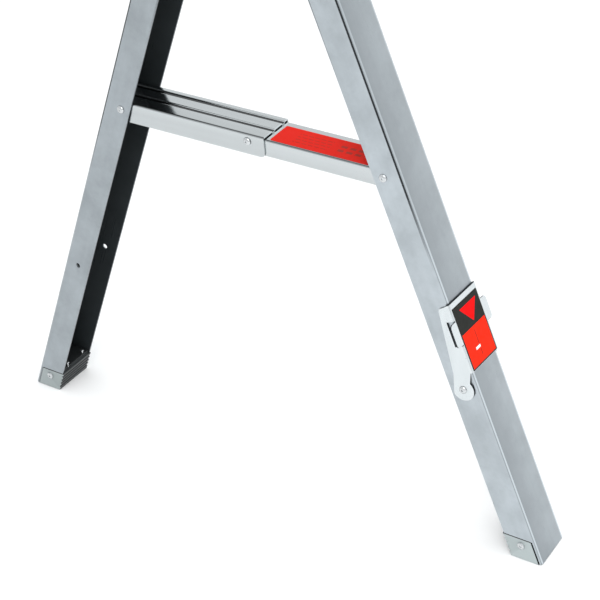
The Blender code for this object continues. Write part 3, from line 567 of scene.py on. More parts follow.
# %% [markdown]
# ## Stiles
# Each stile is a folded channel, drilled for rivets and notched for its shoe.  The solid model's
# shape is right already, so its mesh is copied, welded and smoothed, rather than drawn again.

# %% Copy a solid
def points_of(mesh):
    """A mesh's points, as rows of x, y and z."""
    points = np.empty(len(mesh.vertices) * 3)
    mesh.vertices.foreach_get("co", points)
    return points.reshape(-1, 3)


def bevel(piece, name, width, angle):
    """Break the edges that are sharper than `angle` degrees by `width` mm."""
    edge = piece.modifiers.new(name, "BEVEL")
    edge.width, edge.segments, edge.limit_method = width * MM, 2, "ANGLE"
    edge.angle_limit = math.radians(angle)


def refined(node, name, edge=0.0, crease=35.0):
    """A welded copy of a solid's mesh, with its edges bevelled by `edge` mm."""
    source = cad_nodes[node].data
    corners = np.empty(len(source.loops), np.int32)
    source.loops.foreach_get("vertex_index", corners)
    mesh = bpy.data.meshes.new(name)
    mesh.from_pydata(points_of(source).tolist(), [], corners.reshape(-1, 3).tolist())
    weld(mesh, outwards=False)
    if edge:
        work = bmesh.new()
        work.from_mesh(mesh)
        bmesh.ops.dissolve_limit(work, angle_limit=math.radians(0.6), verts=work.verts, edges=work.edges)
        work.to_mesh(mesh)
        work.free()
    piece = stand(name, mesh, crease)
    if edge:
        bevel(piece, "worn_edge", edge, crease)
    return even_shading(piece)


print(len(cad_nodes), "solids can be copied")


# %% A piece's own coordinates, and its place on the ladder
def own_points(piece):
    """(across, depth, height) of a piece's points in the front frame, in mm: the lean undone."""
    x, y, z = (points_of(piece.data) / MM).T
    y = y + MIDDLE_Y
    return x, y * np.cos(LEAN) - z * np.sin(LEAN), y * np.sin(LEAN) + z * np.cos(LEAN)


def inset_of(x, height):
    """How far in from the web's outer face a point is: the larger of the flared and the upright inset."""
    flared = (BASE_WIDTH / 2 - height * np.tan(FLARE) - np.abs(x)) * np.cos(FLARE)
    return np.maximum(flared, UPPER_HALF - np.abs(x))


def add_attribute(piece, name, kind, values):
    """Store a number or a vector at each point, for a finish to read."""
    store = piece.data.attributes.new(name, kind, "POINT")
    field = "vector" if kind == "FLOAT_VECTOR" else "value"
    store.data.foreach_set(field, np.ravel(values).astype(np.float32))


def settle(piece, finish, body, slot, *nodes):
    """Give a piece its finish and its body, and hide the solids that it stands for.  `slot` is not used."""
    piece.data.materials.append(finish.material)
    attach(piece, body)
    if nodes:
        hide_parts(*nodes)
    return piece


def fasten(piece, *nodes, body="front_frame"):
    """Settle a rivet, screw, pin or bolt."""
    return settle(piece, head_metal, body, "fastener_steel", *nodes)


print("the left stile's foot is", inset_of(BASE_WIDTH / 2, 0.0).round(3), "mm in from its own outer face")

# %% The two stiles
SIDES = ((-1, "left"), (1, "right"))
WALL = GAUGE - 0.2
for _, side in SIDES:
    stile = refined(f"stile_{side}", f"{side}_stile_channel")
    x, depth, height = own_points(stile)
    inset = inset_of(x, height)
    along = np.where(height < BEND_HEIGHT, BEND_HEIGHT - (BEND_HEIGHT - height) / np.cos(FLARE), height)
    inner_points = (inset > WALL) & (depth > WALL) & (depth < WEB - WALL)
    add_attribute(stile, "grain", "FLOAT_VECTOR", np.stack([inset, depth, along], axis=-1) * MM)
    add_attribute(stile, "inside", "FLOAT", inner_points)
    settle(stile, stile_metal[side], "front_frame", "stile_aluminium", f"stile_{side}")
    print(stile.name, len(stile.data.polygons), "faces,", int(inner_points.sum()), "inner points")

# %% [markdown]
# ## Treads
# A tread is one pressed sheet: a front band, a top with two grooves, and a rear band.  Its section is
# a softened path, and the sheet's ends follow the slope of the stiles.

# %% Tread section
TREAD_GAUGE, BAND, INNER_BAND = 1.5, 25.0, 20.0
GROOVE_DEPTH, GROOVE_HALF = 1.2, 1.8
TREAD_DEPTH = (WEB - 2 * CHANNEL_IN - BAND * math.sin(LEAN)) / math.cos(LEAN)


def groove_corners(centres, half):
    """Four corners of each groove: down a slope, along the floor, and up again."""
    offset = np.array([-half - GROOVE_DEPTH, -half, half, half + GROOVE_DEPTH])
    back = (np.asarray(centres)[:, None] + offset).ravel()
    up = np.tile([0.0, -GROOVE_DEPTH, -GROOVE_DEPTH, 0.0], len(centres))
    return np.stack([back, up], axis=-1)


def tread_section(depth, band, centres, half=GROOVE_HALF, corner=2.5):
    """Outer and inner face of an inverted channel, as (back, up) from its front top corner."""
    grooves = groove_corners(centres, half) if len(centres) else np.empty((0, 2))
    outer = np.concatenate([[(0, -band), (0, 0)], grooves, [(depth, 0), (depth, -band)]])
    g, far = TREAD_GAUGE, depth - TREAD_GAUGE
    inner_face = np.concatenate([[(g, -band), (g, -g)], grooves - (0, g), [(far, -g), (far, -band)]])
    groove_radius = [0.7] * len(grooves)
    return (soften(outer, [0, corner] + groove_radius + [corner, 0]),
            soften(inner_face, [0, corner - g] + groove_radius + [corner - g, 0]))


print("the tread is", round(TREAD_DEPTH, 2), "mm deep")


# %% From a section to a finished tread
def level_to_frame(back, up, front, height):
    """(depth, height) in the leaning frame of a level (back, up) from (front, height)."""
    return front + back * np.cos(LEAN) - up * np.sin(LEAN), height + back * np.sin(LEAN) + up * np.cos(LEAN)


def levelled(height, front=CHANNEL_IN, back=0.0, up=0.0):
    """A turn of a whole level section to the leaning frame."""
    return lambda face: np.stack(level_to_frame(face[:, 0] + back, face[:, 1] + up, front, height), axis=-1)


def painted_shade_lines(piece, grooves):
    """Painted shade: 1 on the floor of each groove, exp(-(distance / width)^2) about the front top corner,
    and 0.10 added more than 3 mm below the top.
    """
    _, back, up = (points_of(piece.data) / MM).T
    back, drop = back - back.min(), up.max() - up
    lines = np.exp(-((back - 1.0) / 0.9) ** 2 - (drop / 1.4) ** 2) + 0.10 * (drop > 3.0)
    for centre in grooves:
        lines += (np.abs(back - centre) < GROOVE_HALF + 0.5) * (np.abs(drop - GROOVE_DEPTH) < 0.25)
    return np.clip(lines, 0.0, 1.0)


def tread(name, faces, level, left, right_end, *nodes, grooves=()):
    """A finished tread from its two faces, the turn that levels them, and its ends."""
    outer, inner_face = (level(face) for face in faces)
    piece = even_shading(sew(name, bar(outer, inner_face, left, right_end, in_front_frame)))
    add_attribute(piece, "painted_crease_shade", "FLOAT", painted_shade_lines(piece, grooves))
    return settle(piece, tread_metal, "front_frame", "step_aluminium", *nodes)


def at_stile(side):
    """x of a section's points where the tread meets the inside of a stile's web."""
    return lambda section: side * stile_x(section[:, 1], CHANNEL_IN)


def straight_end(x):
    """The same x for every point of a section."""
    return lambda section: np.full(len(section), x)


print("a tread's section has", 2 * len(tread_section(TREAD_DEPTH, BAND, ())[0]), "points without grooves")

# %% Upper treads
groove_lines = (TREAD_DEPTH * 0.40, TREAD_DEPTH * 0.80)
grooved = tread_section(TREAD_DEPTH, BAND, groove_lines)
for number, tread_height in enumerate(STEP_HEIGHTS[1:], start=2):
    piece = tread(f"tread_{number}", grooved, levelled(tread_height), at_stile(-1), at_stile(1),
                  f"step_{number}", grooves=groove_lines)
    print(piece.name, "tread depth", round(TREAD_DEPTH, 1), "mm")

# %% [markdown]
# The lowest tread is two sheets.  A ribbed half on the left laps over a plain half on the right, which
# is set in by the thickness of the sheet.  The ribbed half's lower corners are rounded.

# %% Lowest tread
LAP_END, LAP_LENGTH, LAP_CORNER, LAP_RIVET_IN = 21.5, 60.0, 5.0, 22.0
INNER_DROP = GROOVE_DEPTH + TREAD_GAUGE + GAP
INNER_SETBACK = TREAD_GAUGE + GAP
LOWEST = STEP_HEIGHTS[0]


def banded(section, rows=7):
    """More points up each band, so that the rounded corner of the lap has points to bend."""
    rise = np.linspace(0.0, 1.0, rows)[:, None] ** 1.5
    front = section[0] + (section[6] - section[0]) * rise
    rear = section[-1] + (section[-7] - section[-1]) * rise
    return np.concatenate([front, section[7:-7], rear[::-1]])


def lap_edge(section):
    """x of the lap: a quarter circle above the band's lower edge, then straight."""
    above_edge = np.clip(section[:, 1] - (LOWEST - BAND) - section[:, 0] * np.tan(LEAN), 0.0, LAP_CORNER)
    return LAP_END - LAP_CORNER + np.sqrt(LAP_CORNER ** 2 - (LAP_CORNER - above_edge) ** 2)


tread("ribbed_lap_half", [banded(face) for face in grooved], levelled(LOWEST), at_stile(-1), lap_edge,
      "lowest_step_ribbed_half", grooves=groove_lines)
plain = tread_section(TREAD_DEPTH - 2 * INNER_SETBACK, INNER_BAND, ())
tread("plain_inner_half", plain, levelled(LOWEST, back=INNER_SETBACK, up=-INNER_DROP),
      straight_end(LAP_END - LAP_LENGTH), at_stile(1), "lowest_step_plain_half")
print("lowest tread laps", LAP_LENGTH, "mm and ends", LAP_END, "mm right of the middle")

# %% [markdown]
# ## Top step
# The top step is the same kind of sheet, with five wider grooves.  Four spacers hold it above the
# bracket, and a rivet goes down through each.

# %% Top step
TOP_DEPTH, TOP_BAND, TOP_FRONT, TOP_OVERHANG, TOP_GROOVE_HALF = 128.0, 24.0, -9.0, 6.0, 3.0
top_centres = TOP_DEPTH * np.arange(1, 6) / 6
top_half = UPPER_HALF + TOP_OVERHANG
top_section = tread_section(TOP_DEPTH, TOP_BAND, top_centres, TOP_GROOVE_HALF)
tread("top_tread", top_section, levelled(TOP_HEIGHT, front=TOP_FRONT), straight_end(-top_half),
      straight_end(top_half), "top_step", grooves=top_centres)
BRACKET_TOP, BRACKET_GAUGE, SPACER, TOP_PLAY = STILE_TOP - 10.0, 3.0, 6.0, 0.6
top_spots = [(x, d, TOP_HEIGHT + (d - TOP_FRONT) * math.tan(LEAN))
             for x in (-48.0, 48.0) for d in (18.0, 92.0)]
for number, (x, d, surface) in enumerate(top_spots, start=1):
    low, high = BRACKET_TOP + GAP, surface - GROOVE_DEPTH - TOP_PLAY
    post = [(0, low), (SPACER, low), (SPACER, high), (0, high)]
    fasten(sew(f"top_spacer_{number}", turned(post, in_front_frame(x, d, 0), LEAN_UP)))
print("top step", round(2 * top_half, 1), "mm wide on", len(top_spots), "spacers")


# %% [markdown]
# ## Rivets, screws and bolts
# A blind rivet has a low domed head, and its tail spreads behind the sheet.  All of them are the same
# profile turned round their own axis, so one function makes them from a spot, an axis and a grip.

# %% Rivets
RIVET_SHANK, RIVET_HEAD, RIVET_DOME, RIVET_TAIL = 2.4, 4.8, 2.2, 1.2
RIVET_DROP, RIVET_INSET = 9.3, 23.0


def rivet_profile(grip):
    """A quarter ellipse for the head, a small pit where the mandrel broke off, then shank and tail."""
    a = np.linspace(0.34, np.pi / 2, 9)
    head = np.stack([RIVET_HEAD * np.sin(a), RIVET_DOME * np.cos(a)], axis=-1)
    pit = [(0.0, RIVET_DOME - 0.9), (1.0, RIVET_DOME - 0.9), (1.25, RIVET_DOME - 0.1)]
    tail = [(RIVET_SHANK, 0), (RIVET_SHANK, -grip), (RIVET_HEAD * 0.78, -grip),
            (RIVET_HEAD * 0.70, -grip - RIVET_TAIL), (0, -grip - RIVET_TAIL)]
    return np.concatenate([pit, head, tail])


def rivet(name, spot, axis, grip, node):
    fasten(sew(name, turned(rivet_profile(grip), spot, axis, sides=32)), node)


def band_depth(front_side, drop, height, setback=0.0):
    """Depth of a tread band's inner face, `drop` below the tread's top."""
    back = TREAD_GAUGE + setback if front_side else TREAD_DEPTH - TREAD_GAUGE - setback
    return CHANNEL_IN + back * math.cos(LEAN) + drop * math.sin(LEAN)


print("a rivet's profile has", len(rivet_profile(5.0)), "points")

# %% Every rivet in its place
ENDS = ((True, "front"), (False, "rear"))
rivet_count = 0
for number, height in enumerate(STEP_HEIGHTS, start=1):
    v = height - RIVET_DROP
    x = float(stile_x(v, RIVET_INSET if height < BEND_HEIGHT else FLANGE / 2))
    for side, side_name in SIDES:
        setback = INNER_SETBACK if number == 1 and side == 1 else 0.0
        for front_side, end in ENDS:
            face = -GAP if front_side else WEB + GAP
            grip = abs(band_depth(front_side, RIVET_DROP, height, setback) - face) + GAP
            outward = -LEAN_BACK if front_side else LEAN_BACK
            rivet(f"tread_{number}_{side_name}_{end}_rivet", in_front_frame(side * x, face, v), outward, grip,
                  f"step_{number}_rivet_{side_name}_{end}")
            rivet_count += 1
for front_side, end in ENDS:
    sign = -1 if front_side else 1
    face = band_depth(front_side, RIVET_DROP, LOWEST) + sign * (TREAD_GAUGE + 2 * GAP)
    grip = abs(band_depth(front_side, RIVET_DROP, LOWEST, INNER_SETBACK) - face) + GAP
    spot = in_front_frame(LAP_END - LAP_RIVET_IN, face, LOWEST - RIVET_DROP)
    rivet(f"lap_{end}_rivet", spot, sign * LEAN_BACK, grip, f"lap_rivet_{end}")
for number, (x, d, surface) in enumerate(top_spots, start=1):
    seat = surface + TOP_PLAY
    rivet(f"top_tread_rivet_{number}", in_front_frame(x, d, seat), LEAN_UP,
          seat - (BRACKET_TOP - BRACKET_GAUGE - GAP), f"top_rivet_{number}")
print(rivet_count + 2 + len(top_spots), "rivets")

# %% [markdown]
# The shoe screws and the pedal's pin are turned in the same way.  The pin has a drilled centre at each
# end.  The bracket's bolts keep the solid model's hexagons, with their edges broken.

# %% Screws, pin and bolts
PEDAL_CLEAR, PEDAL_GAUGE, PIN_RADIUS = 0.5, 1.5, 3.0
SCREW = [(0, 1.1), (1.5, 1.1), (1.7, 2.0), (2.8, 2.1), (4.2, 1.3), (4.6, 0), (2.0, 0), (2.0, -14), (0, -14)]
PIN_HEAD = [(0, 1.0), (1.1, 1.0), (1.3, 2.1), (2.6, 2.0), (4.2, 0.9), (4.6, 0.0), (PIN_RADIUS, 0.0)]


def two_headed(head, reach):
    """A pin's profile: its head `reach` above the middle, and the mirror image below."""
    top = np.array(head) + (0, reach)
    return np.concatenate([top, (top * (1, -1))[::-1]])


for side, side_name in SIDES:
    spot = in_front_frame(side * float(stile_x(SCREW_HEIGHT, PIVOT_INSET)), -GAP, SCREW_HEIGHT)
    screw = sew(f"{side_name}_shoe_screw", turned(SCREW, spot, -LEAN_BACK, sides=32))
    fasten(screw, f"shoe_{side_name}_screw")

pin_reach = WEB / 2 + PEDAL_CLEAR + PEDAL_GAUGE + GAP
pin_profile = two_headed(PIN_HEAD, pin_reach)
fasten(sew("pedal_pivot_pin", turned(pin_profile, in_pedal(0.0, 0.0, 0.0), LEAN_BACK, sides=32)), "pedal_pin")
for _, side_name in SIDES:
    for _, end in ENDS:
        place = f"bolt_{side_name}_{end}"
        fasten(refined(f"head_{place}", f"bracket_{place}", edge=0.35, crease=25.0), f"head_{place}")
print("pin reaches", pin_reach, "mm each side of the web's middle")

# %% [markdown]
# ## Pedal
# The pedal is one sheet folded round the stile: a plate, and an arm down each side.  Two finger ears
# stay in the plane of the plate where the arms have slots.  It is made as a sheet without thickness
# from four kinds of patch, and Solidify then gives it the gauge of the metal.  The rim that Solidify
# adds has a near-black finish of its own: painted shade that outlines the cut edges.

# %% Pedal sheet
PLATE = PIVOT_INSET + PEDAL_CLEAR + PEDAL_GAUGE / 2
ARM = WEB / 2 + PEDAL_CLEAR + PEDAL_GAUGE / 2
FOLD, PLATE_FOOT, PLATE_TOP = 2.0, 19.3, 101.0
EAR_LOW, EAR_HIGH, EAR_TIP, EAR_ROUND, EAR_GAP, SLOT_EDGE = 52.0, 82.0, 38.0, 4.5, 1.3, 10.0
ARM_END, LOBE_START, LOBE_END = 13.5, -3.5, 6.75
FREE_UP, FREE_OUT = [LOBE_START, 20.0, 96.0, 98.5, PLATE_TOP], [-13.04, -5.0, 5.2, 7.0, 20.0]
PLATE_COLUMNS = np.linspace(ARM - FOLD, -(ARM - FOLD), 9)[1:-1]


def free_edge(up):
    """Out-coordinate of an arm's free edge: it follows straight pieces between five corners."""
    return np.minimum(np.interp(up, FREE_UP, FREE_OUT), PLATE - FOLD)


def arm_columns(up):
    """Out-coordinates across an arm, from its free edge to the slot's edge and on to the fold."""
    edge = free_edge(up)[:, None]
    near = edge + (np.maximum(SLOT_EDGE, edge) - edge) * np.linspace(0, 1, 4)
    far = near[:, -1:] + (PLATE - FOLD - near[:, -1:]) * np.linspace(0, 1, 4)[1:]
    return near, np.hstack([near, far])


def at_each(up, row):
    """The same row of numbers at each height."""
    return np.broadcast_to(row, (len(up), len(row)))


def folded(up):
    """Arm, fold, plate, fold, arm at each height: (out, across) along the whole width of the sheet."""
    _, arm = arm_columns(up)
    bend = np.linspace(0, np.pi / 2, 7)[1:]
    half_out = np.hstack([arm, at_each(up, PLATE - FOLD + FOLD * np.sin(bend))])
    half_across = np.hstack([np.full(arm.shape, ARM), at_each(up, ARM - FOLD + FOLD * np.cos(bend))])
    out = np.hstack([half_out, at_each(up, np.full(len(PLATE_COLUMNS), PLATE)), half_out[:, ::-1]])
    return out, np.hstack([half_across, at_each(up, PLATE_COLUMNS), -half_across[:, ::-1]])


def pedal_patch(out, across, up):
    """A grid of the pedal's sheet, with one row of points at each height."""
    points = in_pedal(out, across, np.broadcast_to(up[:, None], out.shape))
    return points, quads(*out.shape)


print("the folded sheet has", folded(np.array([PLATE_FOOT]))[0].shape[1], "points across")

# %% Pedal patches
below = np.linspace(PLATE_FOOT, EAR_LOW, 6)
quarter = EAR_ROUND * (1 - np.cos(np.linspace(0, np.pi / 2, 7)))
foot, head = EAR_LOW + EAR_GAP, EAR_HIGH - EAR_GAP
beside = np.concatenate([[EAR_LOW, foot - 0.05], foot + quarter, np.linspace(foot + 8, head - 8, 3),
                         head - quarter[::-1], [head + 0.05, EAR_HIGH]])
over = np.array([EAR_HIGH, 88.0, 96.0, 97.0, 98.5, 99.7, PLATE_TOP])
patches = [pedal_patch(*folded(below), below), pedal_patch(*folded(over), over)]

slot_out, _ = arm_columns(beside)
patches += [pedal_patch(slot_out, np.full(slot_out.shape, side * ARM), beside) for side in (-1, 1)]

# The ear's corner is a quarter circle, so its tip draws in near both ends.
from_end = np.minimum(beside - foot, head - beside)
rounded = np.sqrt(EAR_ROUND ** 2 - (EAR_ROUND - np.clip(from_end, 0, EAR_ROUND)) ** 2)
ear_tip = np.where(from_end < 0, ARM - FOLD + 0.4, EAR_TIP - EAR_ROUND + rounded)
ear = (ARM - FOLD) + (ear_tip[:, None] - (ARM - FOLD)) * np.linspace(1, 0, 5)
ear_across = np.hstack([ear, at_each(beside, PLATE_COLUMNS), -ear[:, ::-1]])
patches.append(pedal_patch(np.full(ear_across.shape, PLATE), ear_across, beside))

# Below the plate each arm narrows to a round end about the pivot.
round_end = -ARM_END * np.cos(np.linspace(0, np.pi * 0.42, 9))
lobe_up = np.concatenate([round_end, [-1.0, 3.0, LOBE_END, 9.0, 13.0, 16.0, PLATE_FOOT]])
circle = np.sqrt(np.clip(ARM_END ** 2 - lobe_up ** 2, 0, None))
lobe_left = np.where(lobe_up < LOBE_START, -circle, free_edge(np.maximum(lobe_up, LOBE_START)))
slope = np.interp(lobe_up, [LOBE_END, PLATE_FOOT], [11.7, PLATE - FOLD])
lobe_right = np.where(lobe_up < LOBE_END, circle, slope)
_, top_row = arm_columns(np.array([PLATE_FOOT]))
share = (top_row - top_row[:, :1]) / (top_row[:, -1:] - top_row[:, :1])
lobe = lobe_left[:, None] + (lobe_right - lobe_left)[:, None] * share
patches += [pedal_patch(lobe, np.full(lobe.shape, side * ARM), lobe_up) for side in (-1, 1)]

print(len(patches), "patches, with the ear", round(float(ear_tip.max()), 1), "mm from the middle")

# %% Pedal gauge and finish
pedal = sew("folded_pedal", *patches)
gauge = pedal.modifiers.new("gauge", "SOLIDIFY")
gauge.thickness, gauge.offset, gauge.material_offset_rim = PEDAL_GAUGE * MM, 0.0, 1
bevel(pedal, "broken_edge", 0.25, 50.0)
even_shading(pedal)
settle(pedal, pedal_metal, "pedal", "pedal_steel", "pedal")
# The rim takes the painted shade along the cut edges.
pedal.data.materials.append(painted_edge_shade.material)
print("pedal sheet:", len(patches), "patches,", len(pedal.data.polygons), "faces")


# %% [markdown]
# ## Labels
# The labels are printed film with rounded corners.  Each is a thin plate whose own flat coordinates,
# in millimetres from one corner, carry the print: plain fields of colour, an arrowhead and dashes,
# without words.

# %% Film plate
def film(name, size, corner, thickness, place):
    """A plate with a softened outline: centre, lower edge, upper edge and centre again."""
    width, length = size
    outline = soften([(0, 0), (width, 0), (width, length), (0, length)], corner)
    centre = np.broadcast_to(np.array([width / 2, length / 2]), outline.shape)
    flat = np.stack([centre, outline, outline, centre])
    lift = np.array([0.0, 0.0, thickness, thickness])[:, None] + np.zeros(len(outline))
    points = place(flat[..., 0], flat[..., 1], lift)
    return sew(name, (points, quads(4, len(outline), close_columns=True)), marks=flat)


def printed(name):
    """A film finish, and its flat coordinates in mm."""
    finish = Finish(name)
    u, v, _ = finish.axes_of(finish.node("ShaderNodeUVMap", {"uv_map": "print"}))
    where = finish.place()
    scuff = finish.noise(where, 180.0, 4.0, 0.6)
    finish.set(Roughness=0.42 + scuff * 0.16, Specular_IOR_Level=0.02,
               Normal=finish.relief(scuff, 0.08, 0.0002))
    return finish, u, v, scuff


def block(u, v, left, right_end, low, high):
    """1 inside a rectangle of the print, and 0 outside it."""
    return within(u, left, right_end) * within(v, low, high)


def press_print(finish, scuff, colour):
    """The print's colour, with a little paper showing through where it is scuffed."""
    finish.set(Base_Color=finish.blend(scuff * 0.015, colour, PAPER))


INK, PAPER = (0.020, 0.021, 0.019), (0.85, 0.87, 0.85)
WARM_RED, SIGNAL_RED = (0.84, 0.020, 0.003), (0.84, 0.001, 0.002)
FILM, FILM_LIFT = 0.25, 0.03
print("film is", FILM, "mm thick")


# %% Pedal label
LABEL_WIDTH, LABEL_LENGTH, LABEL_FOOT, BORDER = 52.0, 75.0, 19.8, 1.6
label_out = PLATE + PEDAL_GAUGE / 2 + FILM_LIFT
pedal_label = film("pedal_film", (LABEL_WIDTH, LABEL_LENGTH), 0.8, FILM,
                   lambda u, v, lift: in_pedal(label_out + lift, u - LABEL_WIDTH / 2, v + LABEL_FOOT))
pedal_print, u, v, scuff = printed("pedal_print")
SPLIT, APEX, HEAD_TOP, HEAD_LEFT, HEAD_RIGHT, HEAD_MIDDLE = 42.5, 46.5, 68.5, 11.5, 46.0, 30.0
fall = (HEAD_TOP - v) / (HEAD_TOP - APEX)
arrowhead = ((u > HEAD_LEFT + fall * (HEAD_MIDDLE - HEAD_LEFT))
             * (u < HEAD_RIGHT - fall * (HEAD_RIGHT - HEAD_MIDDLE)) * within(v, APEX, HEAD_TOP))
inside_border = block(u, v, BORDER, LABEL_WIDTH - BORDER, BORDER, LABEL_LENGTH - BORDER)
guide_line = block(u, v, 24.4, 25.6, 8.0, 38.0)
light_bar = block(u, v, 17.0, 26.0, 17.0, 20.0)
field = pedal_print.blend(v > SPLIT, WARM_RED, INK)
field = pedal_print.blend(arrowhead, field, SIGNAL_RED)
field = pedal_print.blend(guide_line * 0.75, field, (0.10, 0.012, 0.006))
field = pedal_print.blend(light_bar, field, PAPER)
press_print(pedal_print, scuff, pedal_print.blend(inside_border, INK, field))
settle(pedal_label, pedal_print, "pedal", "label_film", "pedal_label")
print("pedal film", LABEL_WIDTH, "x", LABEL_LENGTH, "mm")

# %% Tread label
TREAD_FILM_LENGTH, TREAD_FILM_DEPTH, TREAD_FILM_START = 125.0, 34.0, 5.5
TREAD_FILM_BACK = 2.6 + INNER_SETBACK


def on_plain_half(u, v, lift):
    """Flat coordinates to the level top of the plain half."""
    up = lift - INNER_DROP + FILM_LIFT
    return in_front_frame(LAP_END + TREAD_FILM_START + u,
                          *level_to_frame(TREAD_FILM_BACK + v, up, CHANNEL_IN, LOWEST))


tread_label = film("tread_film", (TREAD_FILM_LENGTH, TREAD_FILM_DEPTH), 2.0, FILM, on_plain_half)
tread_print, u, v, scuff = printed("tread_print")
LINE, DASH = 5.6, 8.0
row = tread_print.whole("FRACT", v / LINE)
dash = tread_print.whole("FRACT", u / DASH + (v / LINE) * 0.37)
dashes = within(row, 0.30, 0.58) * (dash < 0.78) * block(u, v, 24.0, 68.0, 5.6, 28.0)
BLOCK, BLOCK_ROW = 11.0, 8.5
block_u, block_v = (tread_print.whole("FRACT", ratio) for ratio in (u / BLOCK, v / BLOCK_ROW))
blocks = block(block_u, block_v, 0.16, 0.84, 0.25, 0.75) * block(u, v, 77.0, 110.0, 8.5, 25.5)
field = tread_print.blend(dashes * 0.45, (0.70, 0.018, 0.010), (0.25, 0.030, 0.020))
press_print(tread_print, scuff, tread_print.blend(blocks * 0.60, field, (0.16, 0.045, 0.035)))
settle(tread_label, tread_print, "front_frame", "label_film", "step_label")
print("tread film", TREAD_FILM_LENGTH, "x", TREAD_FILM_DEPTH, "mm")

# %% [markdown]
# ## Shoes
# The shoes are moulded blocks that fill the stiles' ends.  The solid's ribs are right, so it is copied
# with broken edges, and carries its own coordinates for the painted gap shadow and the painted shade with its
# rib stripes.  Two stud ends stand on top of each block, where the channel is hollow.

# %% Shoes
SHOE_CORE, STUD_INSET, STUD_DEPTHS = 33.0, FLANGE - 2.9, (13.0, 43.0)
STUD = [(0, 6.0), (1.2, 5.8), (2.0, 5.1), (2.1, 4.2), (1.0, 3.6), (1.0, -2.0), (0, -2.0)]
for side, side_name in SIDES:
    shoe = refined(f"shoe_{side_name}", f"{side_name}_shoe_block", edge=0.25, crease=30.0)
    x, depth, height = own_points(shoe)
    own = np.stack([inset_of(x, height), depth, height - depth * np.tan(LEAN)], axis=-1)
    add_attribute(shoe, "grain", "FLOAT_VECTOR", own * MM)
    settle(shoe, shoe_plastic[side_name], "front_frame", "shoe_plastic", f"shoe_{side_name}")
    for number, depth in enumerate(STUD_DEPTHS, start=1):
        x = side * float(stile_x(SHOE_CORE, STUD_INSET))
        spot = in_front_frame(x, depth, SHOE_CORE + depth * math.tan(LEAN))
        fasten(sew(f"{side_name}_shoe_stud_{number}", turned(STUD, spot, LEAN_UP, sides=24)))
print("shoes with", len(STUD_DEPTHS), "studs each")

# %% [markdown]
# ## Bracket and leg
# The bracket and the leg's head are solids with broken edges.  The tubes, the clamp collar and its
# lobed knob are turned shapes.

# %% Bracket, leg head and foot
for node, name, finish, body, slot in (
        ("head_bracket", "folded_head_bracket", plated_sheet, "front_frame", "bracket_steel"),
        ("leg_head", "cast_leg_head", cast_metal, "rear_leg", "cast_aluminium"),
        ("rear_foot", "moulded_rear_foot", foot_plastic, "rear_foot", "shoe_plastic"),
        ("rear_foot_sole", "rubber_foot_sole", sole_rubber, "rear_foot", "sole_rubber")):
    piece = settle(refined(node, name, edge=0.5, crease=28.0), finish, body, slot, node)
    print(piece.name, len(piece.data.polygons), "faces")

# %% Tubes
UPPER_TUBE, LOWER_TUBE, TUBE_WALL = 19.0, 16.0, 1.8
UPPER_TOP, UPPER_END, LOWER_TOP = 50.0, 1050.0, 780.0
LEG_LENGTH = math.hypot(REAR_REACH - HINGE_Y, HINGE_Z - FOOT_PIN_HEIGHT)
for name, radius, top, end, body, node in (
        ("leg_outer_tube", UPPER_TUBE, UPPER_TOP + GAP, UPPER_END, "rear_leg", "leg_upper_tube"),
        ("leg_inner_tube", LOWER_TUBE, LOWER_TOP, LEG_LENGTH + 10.0, "leg_extension", "leg_lower_tube")):
    loop = [(radius, -end), (radius, -top), (radius - TUBE_WALL, -top), (radius - TUBE_WALL, -end)]
    piece = sew(name, turned(soften(loop, 0.4, 3), in_leg(0, 0, 0), LEG_UP, sides=64, ring=True))
    settle(even_shading(piece), tube_metal, body, "tube_aluminium", node)
    print(name, round(end - top, 1), "mm long")

# %% Clamp collar and knob
COLLAR, COLLAR_ABOVE, COLLAR_BELOW, CHAMFER = 25.0, 32.0, 26.0, 1.5
RIBS, RIB_DEPTH, RIB_SIDES = 8, 1.0, [1.6, 2.2, 3.2, 3.8]
BOSS, BOSS_IN, BOSS_OUT = 9.0, 20.0, 36.0
grip, slide, stop = UPPER_TUBE + GAP, LOWER_TUBE + GAP, -UPPER_END - GAP
collar_top, collar_end = -(UPPER_END - COLLAR_ABOVE), -(UPPER_END + COLLAR_BELOW)
rib_starts = np.linspace(collar_top - 6, collar_end + 6, RIBS + 1)[:-1]
rib_radii = np.tile([COLLAR, COLLAR - RIB_DEPTH, COLLAR - RIB_DEPTH, COLLAR], RIBS)
ribbed_side = np.stack([rib_radii, np.repeat(rib_starts, 4) - np.tile(RIB_SIDES, RIBS)], axis=-1)
collar_loop = np.concatenate([
    [(grip, collar_top), (COLLAR - CHAMFER, collar_top), (COLLAR, collar_top - CHAMFER)], ribbed_side,
    [(COLLAR, collar_end + CHAMFER), (COLLAR - CHAMFER, collar_end), (slide, collar_end), (slide, stop),
     (grip, stop)]])
boss = soften([(0, BOSS_IN), (BOSS, BOSS_IN), (BOSS, BOSS_OUT), (0, BOSS_OUT)], [0, 0, 1.0, 0])
RIGHTWARD, knob_centre = (1, 0, 0), in_leg(0, 0, -(UPPER_END + 12.0))
collar = sew("ribbed_clamp_collar", turned(collar_loop, in_leg(0, 0, 0), LEG_UP, sides=64, ring=True),
             turned(boss, knob_centre, RIGHTWARD, sides=32))
settle(even_shading(collar), clamp_plastic, "rear_leg", "clamp_plastic", "clamp_collar")
print("collar has", RIBS, "ribs")

